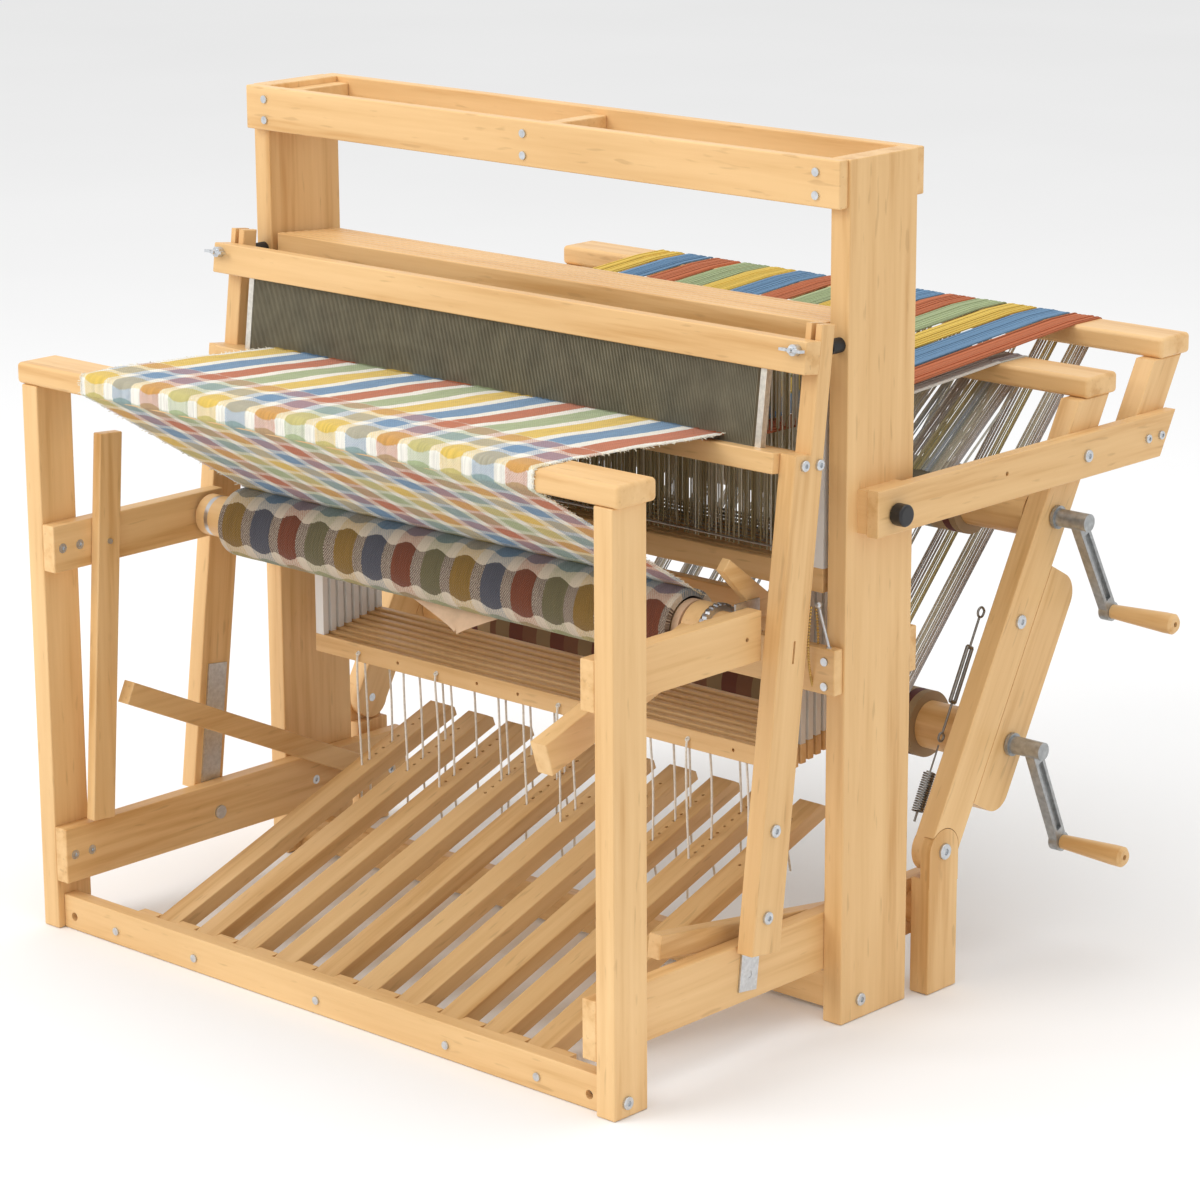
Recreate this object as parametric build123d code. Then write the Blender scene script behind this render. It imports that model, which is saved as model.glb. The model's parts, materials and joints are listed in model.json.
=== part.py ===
from build123d import *
from math import atan2, cos, degrees, hypot, radians, sin
import os

# A folding floor loom. X runs across it, Y to the back and Z up, in millimetres.
# Y is drawn from the front posts' front face. The part's origin lies on the floor,
# under the middle of the foot bar, so that every piece is moved by -foot_bar_middle.

# Boards
board = 25.4                 # thickness of posts, legs and uprights
rail_board = 19.0            # thickness of side rails
inside = 419.6               # half the width between the posts
wood_round = 1.6             # rounded edges of every board
bolt_gap = 0.1               # hole radius over shank radius
body_gap = 0.3               # between faces that slide past each other
sunk_radius, sunk_depth = 5.5, 2.5   # bolt heads let into the rails
blind_end = 8.0              # wood left beyond the end of a sunk bolt
shank = 3.0                  # radius of the frame bolts

# Front frame
post_depth = 50.0
post_height = 636.0
breast_half, breast_depth, breast_thick, beam_round = 453.0, 57.0, 24.0, 5.0
foot_bar_front, foot_bar_back, foot_bar_height = 9.0, 28.0, 40.0
foot_bar_middle = (foot_bar_front + foot_bar_back) / 2
upper_rail_end, upper_rail_low, upper_rail_high = 255.0, 425.0, 479.0
lower_rail_end, lower_rail_low, lower_rail_high = 545.0, 58.0, 123.0
front_bolts_y, castle_bolts_y = (13.0, 38.0), (392.0, 444.0)
foot_screw_height = 16.0

# Castle, the tall middle frame that holds the shafts
castle_front, castle_back, castle_height = 360.0, 470.6, 934.0
castle_rail, castle_rail_half = 14.0, 442.0
top_rail_low = 884.0
mid_rail_low, mid_rail_high = 370.0, 420.0
stretcher_front, stretcher_back, stretcher_low, stretcher_high = 382.0, 401.0, 5.0, 46.0
stretcher_bolt_height = 22.0
hook_y, hook_foot_x, hook_tip_x, hook_rise = 352.0, 430.0, 415.0, 44.0
bumper_height, bumper_radius = 742.0, 8.0

# Rear frame, which folds forward about its lower hinge
hinge_y, hinge_z, hinge_radius = 519.2, 160.0, 5.0
lean = 29.0                  # of the uprights, from the vertical
tongue = 25.0                # radius of the lap joint's round ends
leg_front, leg_back, leg_shoulder = 494.0, 544.4, 132.0
leg_bolts_z = (74.0, 106.0)
leg_gap = 12.7               # spacer between side rail and leg
rail_in = inside - rail_board
post_out = inside + board
leg_in = inside + leg_gap
leg_out = leg_in + board
lap = leg_in + board / 2
upright_half = 25.0
inner_beam_front, outer_beam_front, back_beam_depth, back_beam_half = 759.0, 899.0, 56.0, 461.0
inner_beam_low, outer_beam_low, back_beam_thick = 623.6, 647.0, 23.7
brace_low, brace_high, brace_front, brace_thick = 540.0, 590.0, 376.4, 16.0
outer_post_near, outer_post_far = 88.0, 134.5
side_board_far, side_board_low, side_board_high = 80.0, 62.0, 339.0
knob_y, knob_z, knob_radius = 405.0, 562.0, 12.0
upper_beam_across, upper_beam_along = 1.5, 389.5
lower_beam_across, lower_beam_along = 55.0, 140.0
warp_beam_radius, warp_roll_radius, axle_radius = 27.0, 38.0, 9.5
warp_half = 345.0

# Cranks
spare_hole = (597.0, 570.6)     # in the braces
crank_length, crank_face, crank_end = 130.0, 490.0, 503.0
upper_crank_turn, lower_crank_turn = 28.5, 24.0
handle_end, handle_small, handle_large, handle_bore = 578.0, 8.0, 11.5, 3.0

# Treadles
treadle_count, treadle_pitch, treadle_width, treadle_thick = 10, 64.4, 32.0, 19.0
treadle_rod_y, treadle_rod_z, treadle_rod_radius = 46.0, 14.5, 4.0
treadle_slope, treadle_length = 19.9, 488.0

# Shafts, each a frame with its tie-up bar below
shaft_count, shaft_pitch, shaft_thick = 8, 12.7, 9.0
shaft_front = 361.8
strip_in, strip_out, strip_inset = 350.0, 363.0, 0.5
tie_bar_low, tie_bar_high, tie_bar_step, tie_bar_half = 266.0, 288.0, 2.2, 364.0
heddle_bar_low, heddle_bar_high = 474.0, 500.0
top_bar_low, top_bar_high, top_bar_step, top_bar_half = 736.5, 762.5, 0.9, 412.5
side_strip_in = 399.5
heddle_rod_radius, heddle_rod_gap = 1.5, 12.0
tie_hole_radius, tie_hole_start, tie_hole_pitch = 2.0, 352.0, 13.2

# Beater, drawn upright about its pivot and then leaned back
pivot_y, pivot_z, beater_lean = 235.0, 88.0, 7.0
sword_in, sword_out, sword_front, sword_back = 422.0, 444.0, -24.0, 21.0
sword_low, sword_shoulder, sword_high = 26.5, 554.0, 687.6
sword_slot_low, slot_width = 636.0, 6.0
race_front, race_back, race_low = -34.0, 8.0, 532.0
reed_middle, reed_thick, reed_half, reed_edge = -12.5, 8.0, 390.0, 8.0
reed_low, reed_high = 545.0, 646.0
cap_low, cap_high, cap_front, cap_half = 636.5, 671.0, -24.0, 445.0
plate_low, plate_high, plate_half = -18.0, 176.0, 14.0
cap_bolt_x, cap_bolt_along, cap_bolt_radius = 433.0, 661.0, 2.6
plate_bolts = [(-6.0, 67.0), (-6.0, 160.0)]
race_bolts, race_bolt_radius, race_bolt_rise = [-10.0, 14.0], 2.5, 11.0

# Cloth beam and its levers
cloth_axle_y, cloth_axle_z, cloth_core_radius, cloth_roll_radius = 232.0, 452.0, 24.0, 34.0
cloth_half, cloth_thick = 341.0, 2.0
bearing_wall, peep_radius = 6.0, 2.5   # wood left outside the axle, and the small hole in it
ratchet_x, ratchet_radius, ratchet_teeth = (377.0, 383.0), 32.0, 30
pawl_x, pawl_pin = (385.0, 396.0), (266.0, 476.0)
left_pedal_pivot, right_pedal_pivot = (455.0, 96.0), (440.0, 96.0)
prop_pivot = (70.0, 452.0)
fell_y, fell_z = 282.0, 646.0


def box(x, y, z):
    """A box between pairs of limits along X, Y and Z."""
    size = Box(x[1] - x[0], y[1] - y[0], z[1] - z[0])
    return Pos((x[0] + x[1]) / 2, (y[0] + y[1]) / 2, (z[0] + z[1]) / 2) * size


def timber(x, y, z, radius=wood_round):
    """A straight board with rounded edges."""
    piece = box(x, y, z)
    return fillet(piece.edges(), radius)


def side_shape(outline, x):
    """A board seen from the side: an outline in Y and Z, thick along X."""
    face = make_face(Polyline(*outline, close=True))
    if face.face().normal_at().Z < 0:
        face = make_face(Polyline(*reversed(outline), close=True))
    return Pos(x[0], 0, 0) * (Plane.YZ * extrude(face, x[1] - x[0]))


def softened(piece, radius=wood_round):
    """The same board with its long outline edges rounded."""
    edges = piece.edges().filter_by(GeomType.LINE).filter_by(Axis.X, reverse=True)
    return fillet(edges, radius)


def rod(radius, x, y, z):
    """A round bar along X."""
    length = x[1] - x[0]
    return Pos((x[0] + x[1]) / 2, y, z) * Rot(0, 90, 0) * Cylinder(radius, length)


def rod_y(radius, x, y, z):
    """A round bar along Y."""
    length = y[1] - y[0]
    return Pos(x, (y[0] + y[1]) / 2, z) * Rot(90, 0, 0) * Cylinder(radius, length)


def span(side, near, far):
    """Limits along X of a piece on the left (-1) or right (+1) side."""
    return sorted((side * near, side * far))


def both_sides(make):
    """The left and right pieces that a function of the side makes."""
    return [make(side) for side in (-1, 1)]


def bolt_head(side, x, y, z, radius=7.0, height=3.5):
    """A domed bolt head whose seat is the face at x, pointing away from the middle."""
    dome = rod(radius, span(side, x, x + height), y, z)
    outer = dome.faces().sort_by(Axis.X)[-1 if side > 0 else 0]
    socket = rod(radius * 0.42, span(side, x + height * 0.5, x + height), y, z)
    return fillet(outer.edges(), height * 0.4) - socket


def through_bolt(side, inner, outer, y, z, radius=3.0, head=7.0):
    """A bolt across a side of the loom, with its head outside."""
    shank = rod(radius, span(side, inner, outer), y, z)
    return shank + bolt_head(side, outer, y, z, head)


def sunk_bolt(side, inner, outer, y, z, radius):
    """A bolt driven outwards from inside the loom, with its head let into the rail."""
    head = rod(sunk_radius, span(side, inner, inner + sunk_depth), y, z)
    socket = rod(sunk_radius * 0.45, span(side, inner, inner + sunk_depth * 0.6), y, z)
    return head - socket + rod(radius, span(side, inner + sunk_depth, outer), y, z)


def face_screw(x, y, z, direction, depth=10.0, radius=4.5):
    """A screw along Y whose head stands on a front (-1) or rear (+1) face."""
    head = rod_y(radius, x, sorted((y, y + direction * 2.0)), z)
    shank = rod_y(2.0, x, sorted((y, y - direction * depth)), z)
    return head + shank


def drilled(piece, bolts):
    """A piece with holes for the bolts' shanks."""
    for side, inner, outer, y, z, radius in bolts:
        piece -= rod(radius + bolt_gap, span(side, inner - 0.5, outer + 0.5), y, z)
    return piece


def screwed(piece, screws):
    """A piece with holes for the screws' shanks."""
    for x, y, z, direction, depth in screws:
        piece -= rod_y(2.0 + bolt_gap, x, sorted((y, y - direction * (depth + 0.5))), z)
    return piece


def leaned(across, along):
    """The Y and Z of a point given along and across the leaning uprights."""
    angle = radians(lean)
    y = hinge_y + across * cos(angle) + along * sin(angle)
    z = hinge_z - across * sin(angle) + along * cos(angle)
    return y, z


def leaned_at_height(across, z):
    """The Y and Z where the line at a distance across meets a height."""
    angle = radians(lean)
    along = (z - hinge_z + across * sin(angle)) / cos(angle)
    return leaned(across, along)


def beater_place(shape):
    """Leans a shape drawn about the beater's pivot back to its rest."""
    return Pos(0, pivot_y, pivot_z) * Rot(-beater_lean, 0, 0) * shape


# Bolt and screw positions: side, inner x, outer x, y, z and shank radius
rail_bolts = []
for side in (-1, 1):
    end = post_out - blind_end
    for y in front_bolts_y:
        rail_bolts.append((side, rail_in, end, y, (upper_rail_low + upper_rail_high) / 2, shank))
        rail_bolts.append((side, rail_in, end, y, (lower_rail_low + lower_rail_high) / 2, shank))
    for y in castle_bolts_y:
        rail_bolts.append((side, rail_in, end, y, (lower_rail_low + lower_rail_high) / 2, shank))
foot_bolts = []
for side in (-1, 1):
    stretcher_middle = (stretcher_front + stretcher_back) / 2
    foot_bolts.append((side, inside - 30.0, post_out, foot_bar_middle, foot_screw_height, shank))
    foot_bolts.append((side, inside - 30.0, post_out, stretcher_middle, stretcher_bolt_height, shank))
leg_bolts = []
for side in (-1, 1):
    for z in leg_bolts_z:
        leg_bolts.append((side, rail_in, leg_out - blind_end, hinge_y, z, shank))
rail_screws = []
for z in (379.0, 406.0):
    for x in (-429.0, 429.0):
        rail_screws.append((x, castle_front - castle_rail, z, -1, 30.0))
        rail_screws.append((x, castle_back + castle_rail, z, 1, 30.0))
for z in (top_rail_low + 12.0, top_rail_low + 36.0):
    for x in (-411.0, 0.0, 411.0):
        rail_screws.append((x, castle_front - castle_rail, z, -1, 22.0))
        rail_screws.append((x, castle_back + castle_rail, z, 1, 22.0))
foot_screws = []
for x in (-329.0, -197.0, 0.0, 197.0, 329.0):
    foot_screws.append((x, foot_bar_front, foot_screw_height, -1, 30.0))

# Bolts of the rear frame: Y and Z
brace_x = (leg_out, leg_out + brace_thick)
brace_bolt_height = (brace_low + brace_high) / 2
upright_bolts = [leaned_at_height(0.0, brace_bolt_height)]
brace_screws = [leaned_at_height(across, brace_bolt_height) for across in (100.0, 122.0)]
side_board_bolt = leaned(0.0, 266.0)


def front_posts():
    """Two posts that carry the breast beam."""
    def post(side):
        piece = timber(span(side, inside, post_out), (0, post_depth), (0, post_height))
        return drilled(piece, rail_bolts + foot_bolts)
    return both_sides(post)


def breast_beam():
    """The flat beam that the cloth turns over."""
    x = (-breast_half, breast_half)
    return timber(x, (0, breast_depth), (post_height, post_height + breast_thick), beam_round)


def foot_bar():
    """The bar on the floor in front of the treadles."""
    bar = timber((-inside, inside), (foot_bar_front, foot_bar_back), (0, foot_bar_height))
    bar = drilled(bar, foot_bolts)
    for side in (-1, 1):
        bar -= rod_y(5.0, side * (inside - 17.6), (foot_bar_front, foot_bar_front + 12.0), foot_screw_height)
    return screwed(bar, foot_screws)


def side_rails(end, low, high, bolts):
    """A pair of rails inside the posts."""
    def rail(side):
        piece = timber(span(side, rail_in, inside), (0, end), (low, high))
        for end_side, inner, _, y, z, _ in bolts:
            piece -= rod(sunk_radius + bolt_gap, span(end_side, inner - 0.5, inner + sunk_depth), y, z)
        return drilled(piece, bolts)
    return both_sides(rail)


def upper_side_rails():
    """Short rails that carry the cloth beam, with a bearing hole in each."""
    rails = []
    for rail in side_rails(upper_rail_end, upper_rail_low, upper_rail_high, rail_bolts):
        bearing = inside - bearing_wall + body_gap
        rail -= rod(axle_radius + bolt_gap, (-bearing, bearing), cloth_axle_y, cloth_axle_z)
        rail -= rod(peep_radius, (-inside, inside), cloth_axle_y, cloth_axle_z)
        rails.append(rail)
    return rails


def lower_side_rails():
    """Long rails that join front posts, castle and rear legs."""
    rails = side_rails(lower_rail_end, lower_rail_low, lower_rail_high, rail_bolts + leg_bolts)
    bored = []
    for rail in rails:
        bored.append(rail - rod(4.0 + bolt_gap, (-inside, inside), pivot_y, pivot_z))
    return bored


def castle_post(side):
    """A wide post of the castle."""
    piece = timber(span(side, inside, post_out), (castle_front, castle_back), (0, castle_height))
    piece = drilled(piece, rail_bolts + foot_bolts)
    return screwed(piece, rail_screws)


def castle_rail_pair(low, high):
    """A front and a rear rail across the castle."""
    x = (-castle_rail_half, castle_rail_half)
    front = timber(x, (castle_front - castle_rail, castle_front), (low, high))
    rear = timber(x, (castle_back, castle_back + castle_rail), (low, high))
    return [screwed(front, rail_screws), screwed(rear, rail_screws)]


def castle_top_rails():
    """The open tray on top of the castle: two rails and three cross blocks."""
    pieces = castle_rail_pair(top_rail_low, castle_height)
    half = rail_board / 2
    for middle in (half - inside, 0.0, inside - half):
        limits = (middle - half, middle + half)
        block = timber(limits, (castle_front, castle_back), (top_rail_low + 3, top_rail_low + 43))
        pieces.append(screwed(block, rail_screws))
    return pieces


def castle_stretcher():
    """The cross bar near the floor, which also stops the treadles."""
    y = (stretcher_front, stretcher_back)
    bar = timber((-inside, inside), y, (stretcher_low, stretcher_high))
    return drilled(bar, foot_bolts)


def rear_legs():
    """Two short legs, each half lapped at the top for the folding hinge."""
    def leg(side):
        low = timber(span(side, leg_in, leg_out), (leg_front, leg_back), (0, leg_shoulder))
        outer = span(side, lap + body_gap / 2, leg_out)
        cheek = box(outer, (leg_front, leg_back), (leg_shoulder - 10, hinge_z))
        cheek += rod((leg_back - leg_front) / 2, outer, hinge_y, hinge_z)
        piece = drilled(low + cheek, leg_bolts)
        return piece - rod(hinge_radius + bolt_gap, (-leg_out, leg_out), hinge_y, hinge_z)
    return both_sides(leg)


def frame_spacers():
    """Blocks between the treadles, discs behind the legs and pads behind the braces."""
    blocks = []
    block_width = treadle_pitch - treadle_width - 2.4
    for number in range(treadle_count + 1):
        middle = (number - treadle_count / 2) * treadle_pitch
        block = box((middle - block_width / 2, middle + block_width / 2), (foot_bar_back, 60), (5, 28))
        block -= rod(treadle_rod_radius + bolt_gap, (-inside, inside), treadle_rod_y, treadle_rod_z)
        blocks.append(screwed(block, foot_screws))
    for side in (-1, 1):
        disc = rod(21.0, span(side, inside, leg_in), hinge_y, 90.5)
        blocks.append(drilled(disc, leg_bolts))
        pad = span(side, post_out, leg_out - body_gap)
        blocks.append(box(pad, (castle_front + 18, castle_back - 30), (brace_low + 2, brace_high - 2)))
    return blocks


def frame_hardware():
    """Bolts, screws, the treadle rod, rubber bumpers and the hook rod."""
    pieces = []
    for bolt in foot_bolts:
        pieces.append(through_bolt(*bolt))
    for bolt in rail_bolts + leg_bolts:
        pieces.append(sunk_bolt(*bolt))
    for x, y, z, direction, depth in rail_screws + foot_screws:
        pieces.append(face_screw(x, y, z, direction, depth))
    for side in (-1, 1):
        pieces.append(through_bolt(side, leg_in, leg_out, hinge_y, hinge_z, hinge_radius, 9.0))
        inner_end = rail_in - 2.5
        pivot = rod(4.0, span(side, inner_end, sword_in - body_gap), pivot_y, pivot_z)
        pieces.append(pivot + rod(8.0, span(side, inner_end, rail_in), pivot_y, pivot_z))
        rest = castle_front - 18.6
        pieces.append(rod_y(bumper_radius, side * 433.0, (rest, castle_front), bumper_height))
    rod_half = treadle_pitch * treadle_count / 2 + 20.0
    pieces.append(rod(treadle_rod_radius, (-rod_half, rod_half), treadle_rod_y, treadle_rod_z))
    pieces += small_pins()
    hook_foot = Vector(hook_foot_x, hook_y, mid_rail_high + 0.6)
    hook_tip = Vector(hook_tip_x, hook_y, mid_rail_high + hook_rise)
    path = Line(hook_foot, hook_tip)
    hook = sweep(Plane(path @ 0, z_dir=path % 0) * Circle(1.5), path=path)
    collar = Pos(hook_foot.X, hook_foot.Y, mid_rail_high + 0.6) * Cylinder(3.0, 1.2)
    pieces.append(hook + collar + Pos(hook_tip.X, hook_tip.Y, hook_tip.Z) * Sphere(4.0))
    return pieces


def small_pins():
    """Pivot pins of both pedals, the prop bar and the pawl, and the pawl's bracket."""
    pins = [rod(3.0, (-rail_in, -365.0), *left_pedal_pivot)]
    pins.append(rod(3.0, (377.0, rail_in), *right_pedal_pivot))
    pins.append(rod(3.0, (-rail_in, -385.0), *prop_pivot))
    bracket = box((rail_in - 2.5, rail_in), (236.0, 274.0), (467.0, 485.0))
    bracket -= rod(cloth_core_radius + 1.0, (rail_in - 3, rail_in), cloth_axle_y, cloth_axle_z)
    pins.append(bracket + rod(3.0, (pawl_x[0] - 3, rail_in), *pawl_pin))
    return pins


def cloth():
    """Woven cloth from the reed over the breast beam and down to its roll."""
    start = (-1.0, post_height)
    reach = hypot(cloth_axle_y - start[0], cloth_axle_z - start[1])
    slope = atan2(cloth_axle_z - start[1], cloth_axle_y - start[0])
    roll = cloth_roll_radius + cloth_thick + 0.5
    turn = slope + atan2(roll, (reach ** 2 - roll ** 2) ** 0.5)
    run = (reach ** 2 - roll ** 2) ** 0.5
    end = (start[0] + run * cos(turn), start[1] + run * sin(turn))
    top = post_height + breast_thick
    inner = [(fell_y, fell_z), (breast_depth, top), (0.0, top), start, end]
    lift = cloth_thick
    under = (end[0] + lift * sin(turn), end[1] - lift * cos(turn))
    outer = [under, (start[0] - lift * 0.9, start[1] - lift * 0.5), (-lift, top - beam_round)]
    outer += [(0.0, top + lift), (breast_depth, top + lift), (fell_y, fell_z + lift)]
    beam = box((-breast_half, breast_half), (0, breast_depth), (post_height, top))
    sheet = side_shape(inner + outer, (-cloth_half, cloth_half))
    return sheet - beam


def treadle(number):
    """One pedal, drawn level from its rod and then raised at the back."""
    middle = (number - (treadle_count + 1) / 2) * treadle_pitch
    half = treadle_thick / 2
    x = (middle - treadle_width / 2, middle + treadle_width / 2)
    body = side_shape([(0, -half), (treadle_length, -half), (treadle_length, half - 8),
                       (treadle_length - 8, half), (0, half)], x)
    body = softened(body, 1.2)
    body += rod(half, x, 0, 0)
    body -= rod(treadle_rod_radius + bolt_gap, (x[0] - 1, x[1] + 1), 0, 0)
    for step in range(shaft_count):
        place = tie_hole_start + step * tie_hole_pitch
        body -= Pos(middle, place, 0) * Cylinder(tie_hole_radius, treadle_thick + 2)
    return Pos(0, treadle_rod_y, treadle_rod_z) * Rot(treadle_slope, 0, 0) * body


def shaft(number):
    """One shaft: top bar, heddle bar, side strips and tie-up bar."""
    front = shaft_front + (number - 1) * shaft_pitch
    y = (front, front + shaft_thick)
    raise_bar = (number - 1) * tie_bar_step
    bar_top = tie_bar_high + raise_bar
    top_low = top_bar_low - (number - 1) * top_bar_step
    top_high = top_bar_high - (number - 1) * top_bar_step
    across = (-top_bar_half, top_bar_half)
    pieces = [timber(across, y, (top_low, top_high))]
    pieces.append(timber(across, y, (heddle_bar_low, heddle_bar_high), 1.2))
    tie_bar = timber((-tie_bar_half, tie_bar_half), y, (tie_bar_low + raise_bar, bar_top), 1.2)
    for hole in range(treadle_count):
        x = (hole - (treadle_count - 1) / 2) * treadle_pitch
        height = (tie_bar_low + bar_top + raise_bar) / 2
        tie_bar -= rod_y(tie_hole_radius, x, (y[0] - 1, y[1] + 1), height)
    pieces.append(tie_bar)
    strip_y = (y[0] + strip_inset, y[1] - strip_inset)
    for side in (-1, 1):
        pieces.append(box(span(side, strip_in, strip_out), strip_y, (bar_top, heddle_bar_low)))
        pieces.append(box(span(side, side_strip_in, top_bar_half), strip_y, (heddle_bar_high, top_low)))
    for z in (heddle_bar_high + heddle_rod_gap, top_low - heddle_rod_gap):
        pieces.append(rod(heddle_rod_radius, (-side_strip_in, side_strip_in), front + shaft_thick / 2, z))
    return pieces


def beater_swords():
    """The beater's two side arms, narrow and slotted at the top."""
    def sword(side):
        x = span(side, sword_in, sword_out)
        outline = [(sword_front, sword_low), (sword_back, sword_low), (sword_back, sword_high),
                   (0, sword_high), (0, sword_shoulder), (sword_front, sword_shoulder)]
        piece = softened(side_shape(outline, x))
        middle = side * cap_bolt_x
        slot = (middle - slot_width / 2, middle + slot_width / 2)
        piece -= box(slot, (-1, sword_back + 1), (sword_slot_low, sword_high + 1))
        mark = span(side, sword_out - 6, sword_out)
        piece -= box(mark, (-1.5, 1.5), (336, 360))
        for across, along in plate_bolts:
            piece -= rod(3.0 + bolt_gap, x, across, along)
        for across in race_bolts:
            piece -= rod(race_bolt_radius + bolt_gap, x, across, race_low + race_bolt_rise)
        return beater_place(piece)
    return both_sides(sword)


def race_board():
    """The board that the reed stands in, with a groove along its top."""
    x = (-sword_in, sword_in)
    piece = timber(x, (race_front, race_back), (race_low, sword_shoulder))
    groove = (reed_middle - reed_thick / 2 - 0.2, reed_middle + reed_thick / 2 + 0.2)
    piece -= box((-reed_half - 1, reed_half + 1), groove, (reed_low, sword_shoulder + 1))
    height = race_low + race_bolt_rise
    for side in (-1, 1):
        for across in race_bolts:
            piece -= rod(race_bolt_radius + bolt_gap, span(side, sword_in - 30, sword_in), across, height)
    return beater_place(piece)


def reed():
    """The reed's outer frame: two bindings and two end strips."""
    y = (reed_middle - reed_thick / 2, reed_middle + reed_thick / 2)
    piece = box((-reed_half, reed_half), y, (reed_low, reed_high))
    window = (reed_low + reed_edge + 1, reed_high - reed_edge - 1)
    piece -= box((-reed_half + reed_edge, reed_half - reed_edge), (y[0] - 1, y[1] + 1), window)
    return beater_place(piece)


def reed_cap():
    """The rail over the reed, which slides up off it."""
    back = -body_gap
    piece = timber((-cap_half, cap_half), (cap_front, back), (cap_low, cap_high))
    groove = (reed_middle - reed_thick / 2 - body_gap, reed_middle + reed_thick / 2 + body_gap)
    piece -= box((-reed_half - 1, reed_half + 1), groove, (cap_low - 1, reed_high + body_gap))
    for side in (-1, 1):
        hole = (cap_front - 1, back + 1)
        piece -= rod_y(cap_bolt_radius + bolt_gap, side * cap_bolt_x, hole, cap_bolt_along)
    return beater_place(piece)


def cap_nuts():
    """Bolts through the cap's slots, each with a wing nut in front."""
    pieces = []
    for side in (-1, 1):
        x = side * cap_bolt_x
        bolt = rod_y(cap_bolt_radius, x, (cap_front - 14, sword_back + body_gap), cap_bolt_along)
        bolt += rod_y(7.0, x, (sword_back + body_gap, sword_back + 3.5), cap_bolt_along)
        nut = rod_y(6.0, x, (cap_front - 8, cap_front), cap_bolt_along)
        wing_thick = (cap_bolt_along - 1.5, cap_bolt_along + 1.5)
        for wing in (-1, 1):
            low, high = sorted((wing * 4.0, wing * 14.0))
            nut += box((x + low, x + high), (cap_front - 13, cap_front - 5), wing_thick)
        pieces.append(beater_place(bolt + nut))
    return pieces


def beater_hardware():
    """Slotted steel plates below the swords, and the beater's bolts."""
    pieces = []
    for side in (-1, 1):
        x = span(side, inside + body_gap, sword_in)
        plate = box(x, (-plate_half, plate_half), (plate_low, plate_high))
        plate -= rod(4.0 + bolt_gap, x, 0, 0)
        for across, along in plate_bolts:
            plate -= rod(3.0 + bolt_gap, x, across, along)
        pieces.append(beater_place(plate))
        for across, along in plate_bolts:
            bolt = through_bolt(side, inside + body_gap, sword_out, across, along)
            pieces.append(beater_place(bolt))
        height = race_low + race_bolt_rise
        for across in race_bolts:
            bolt = through_bolt(side, sword_in - 28, sword_out, across, height, race_bolt_radius, 6.0)
            pieces.append(beater_place(bolt))
    return pieces


def cloth_beam():
    """The round beam that the cloth winds on, with its steel axle ends."""
    end = rail_in - 4
    core = rod(cloth_core_radius, (-end, end), cloth_axle_y, cloth_axle_z)
    axle_end = inside - bearing_wall
    core += rod(axle_radius, (-axle_end, axle_end), cloth_axle_y, cloth_axle_z)
    ring = rod(ratchet_radius, ratchet_x, cloth_axle_y, cloth_axle_z)
    for tooth in range(ratchet_teeth):
        notch = Pos(0, 0, ratchet_radius) * Rot(25, 0, 0) * Box(ratchet_x[1] * 3, 3.0, 5.0)
        ring -= Pos(0, cloth_axle_y, cloth_axle_z) * Rot(tooth * 360 / ratchet_teeth, 0, 0) * notch
    ring -= rod(cloth_core_radius, ratchet_x, cloth_axle_y, cloth_axle_z)
    return [core, ring]


def cloth_roll():
    """Cloth wound on the beam."""
    x = (-cloth_half, cloth_half)
    roll = rod(cloth_roll_radius, x, cloth_axle_y, cloth_axle_z)
    return roll - rod(cloth_core_radius + bolt_gap, x, cloth_axle_y, cloth_axle_z)


def advance_lever():
    """A hand lever that turns about the cloth beam's axle."""
    x = (353.0, 375.0)
    angle = radians(17.5)
    length = 262.0
    outline = [(-length, -20), (0, -20), (0, 20), (-length, 16)]
    arm = softened(side_shape(outline, x))
    arm += rod(30.0, x, 0, 0)
    arm -= rod(cloth_core_radius + body_gap, (x[0] - 1, x[1] + 1), 0, 0)
    arm = Rot(degrees(angle), 0, 0) * arm
    return Pos(0, cloth_axle_y, cloth_axle_z) * arm


def pawl_lever():
    """The release lever of the cloth beam's pawl, behind the rail's end."""
    outline = [(268.0, 463.0), (300.0, 458.0), (302.0, 480.0)]
    outline += [(232.0, 533.0), (222.0, 522.0), (258.0, 486.0)]
    piece = softened(side_shape(outline, pawl_x), 1.2)
    return piece - rod(3.0 + bolt_gap, (pawl_x[0] - 1, pawl_x[1] + 1), *pawl_pin)


def pedal(side, front, back, half, x):
    """A flat pedal bar between two points of its middle line, pivoted at the back."""
    length = hypot(back[0] - front[0], back[1] - front[1])
    slope = degrees(atan2(back[1] - front[1], back[0] - front[0]))
    limits = span(side, x[0], x[1])
    bar = softened(side_shape([(-length, -half), (0, -half), (0, half), (-length, half)], limits))
    bar += rod(half, limits, 0, 0)
    bar -= rod(3.0 + bolt_gap, (limits[0] - 1, limits[1] + 1), 0, 0)
    return Pos(0, back[0], back[1]) * Rot(slope, 0, 0) * bar


def brake_pedal_left():
    """The long pedal that slackens the upper warp beam's brake."""
    return pedal(-1, (77.0, 275.0), left_pedal_pivot, 13.0, (368.0, 386.0))


def brake_pedal_right():
    """The low pedal that slackens the lower warp beam's brake."""
    return pedal(1, (124.0, 141.0), right_pedal_pivot, 13.0, (379.0, 397.0))


def prop_bar():
    """The upright bar hung on the left upper rail."""
    lean_angle = degrees(atan2(32.0, 449.0))
    bar = timber((-rail_in + body_gap, -rail_in + 13.4), (-16, 16), (-325, 124))
    bar -= rod(3.0 + bolt_gap, (-rail_in, -rail_in + 15), 0, 0)
    return Pos(0, *prop_pivot) * Rot(-lean_angle, 0, 0) * bar


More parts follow.
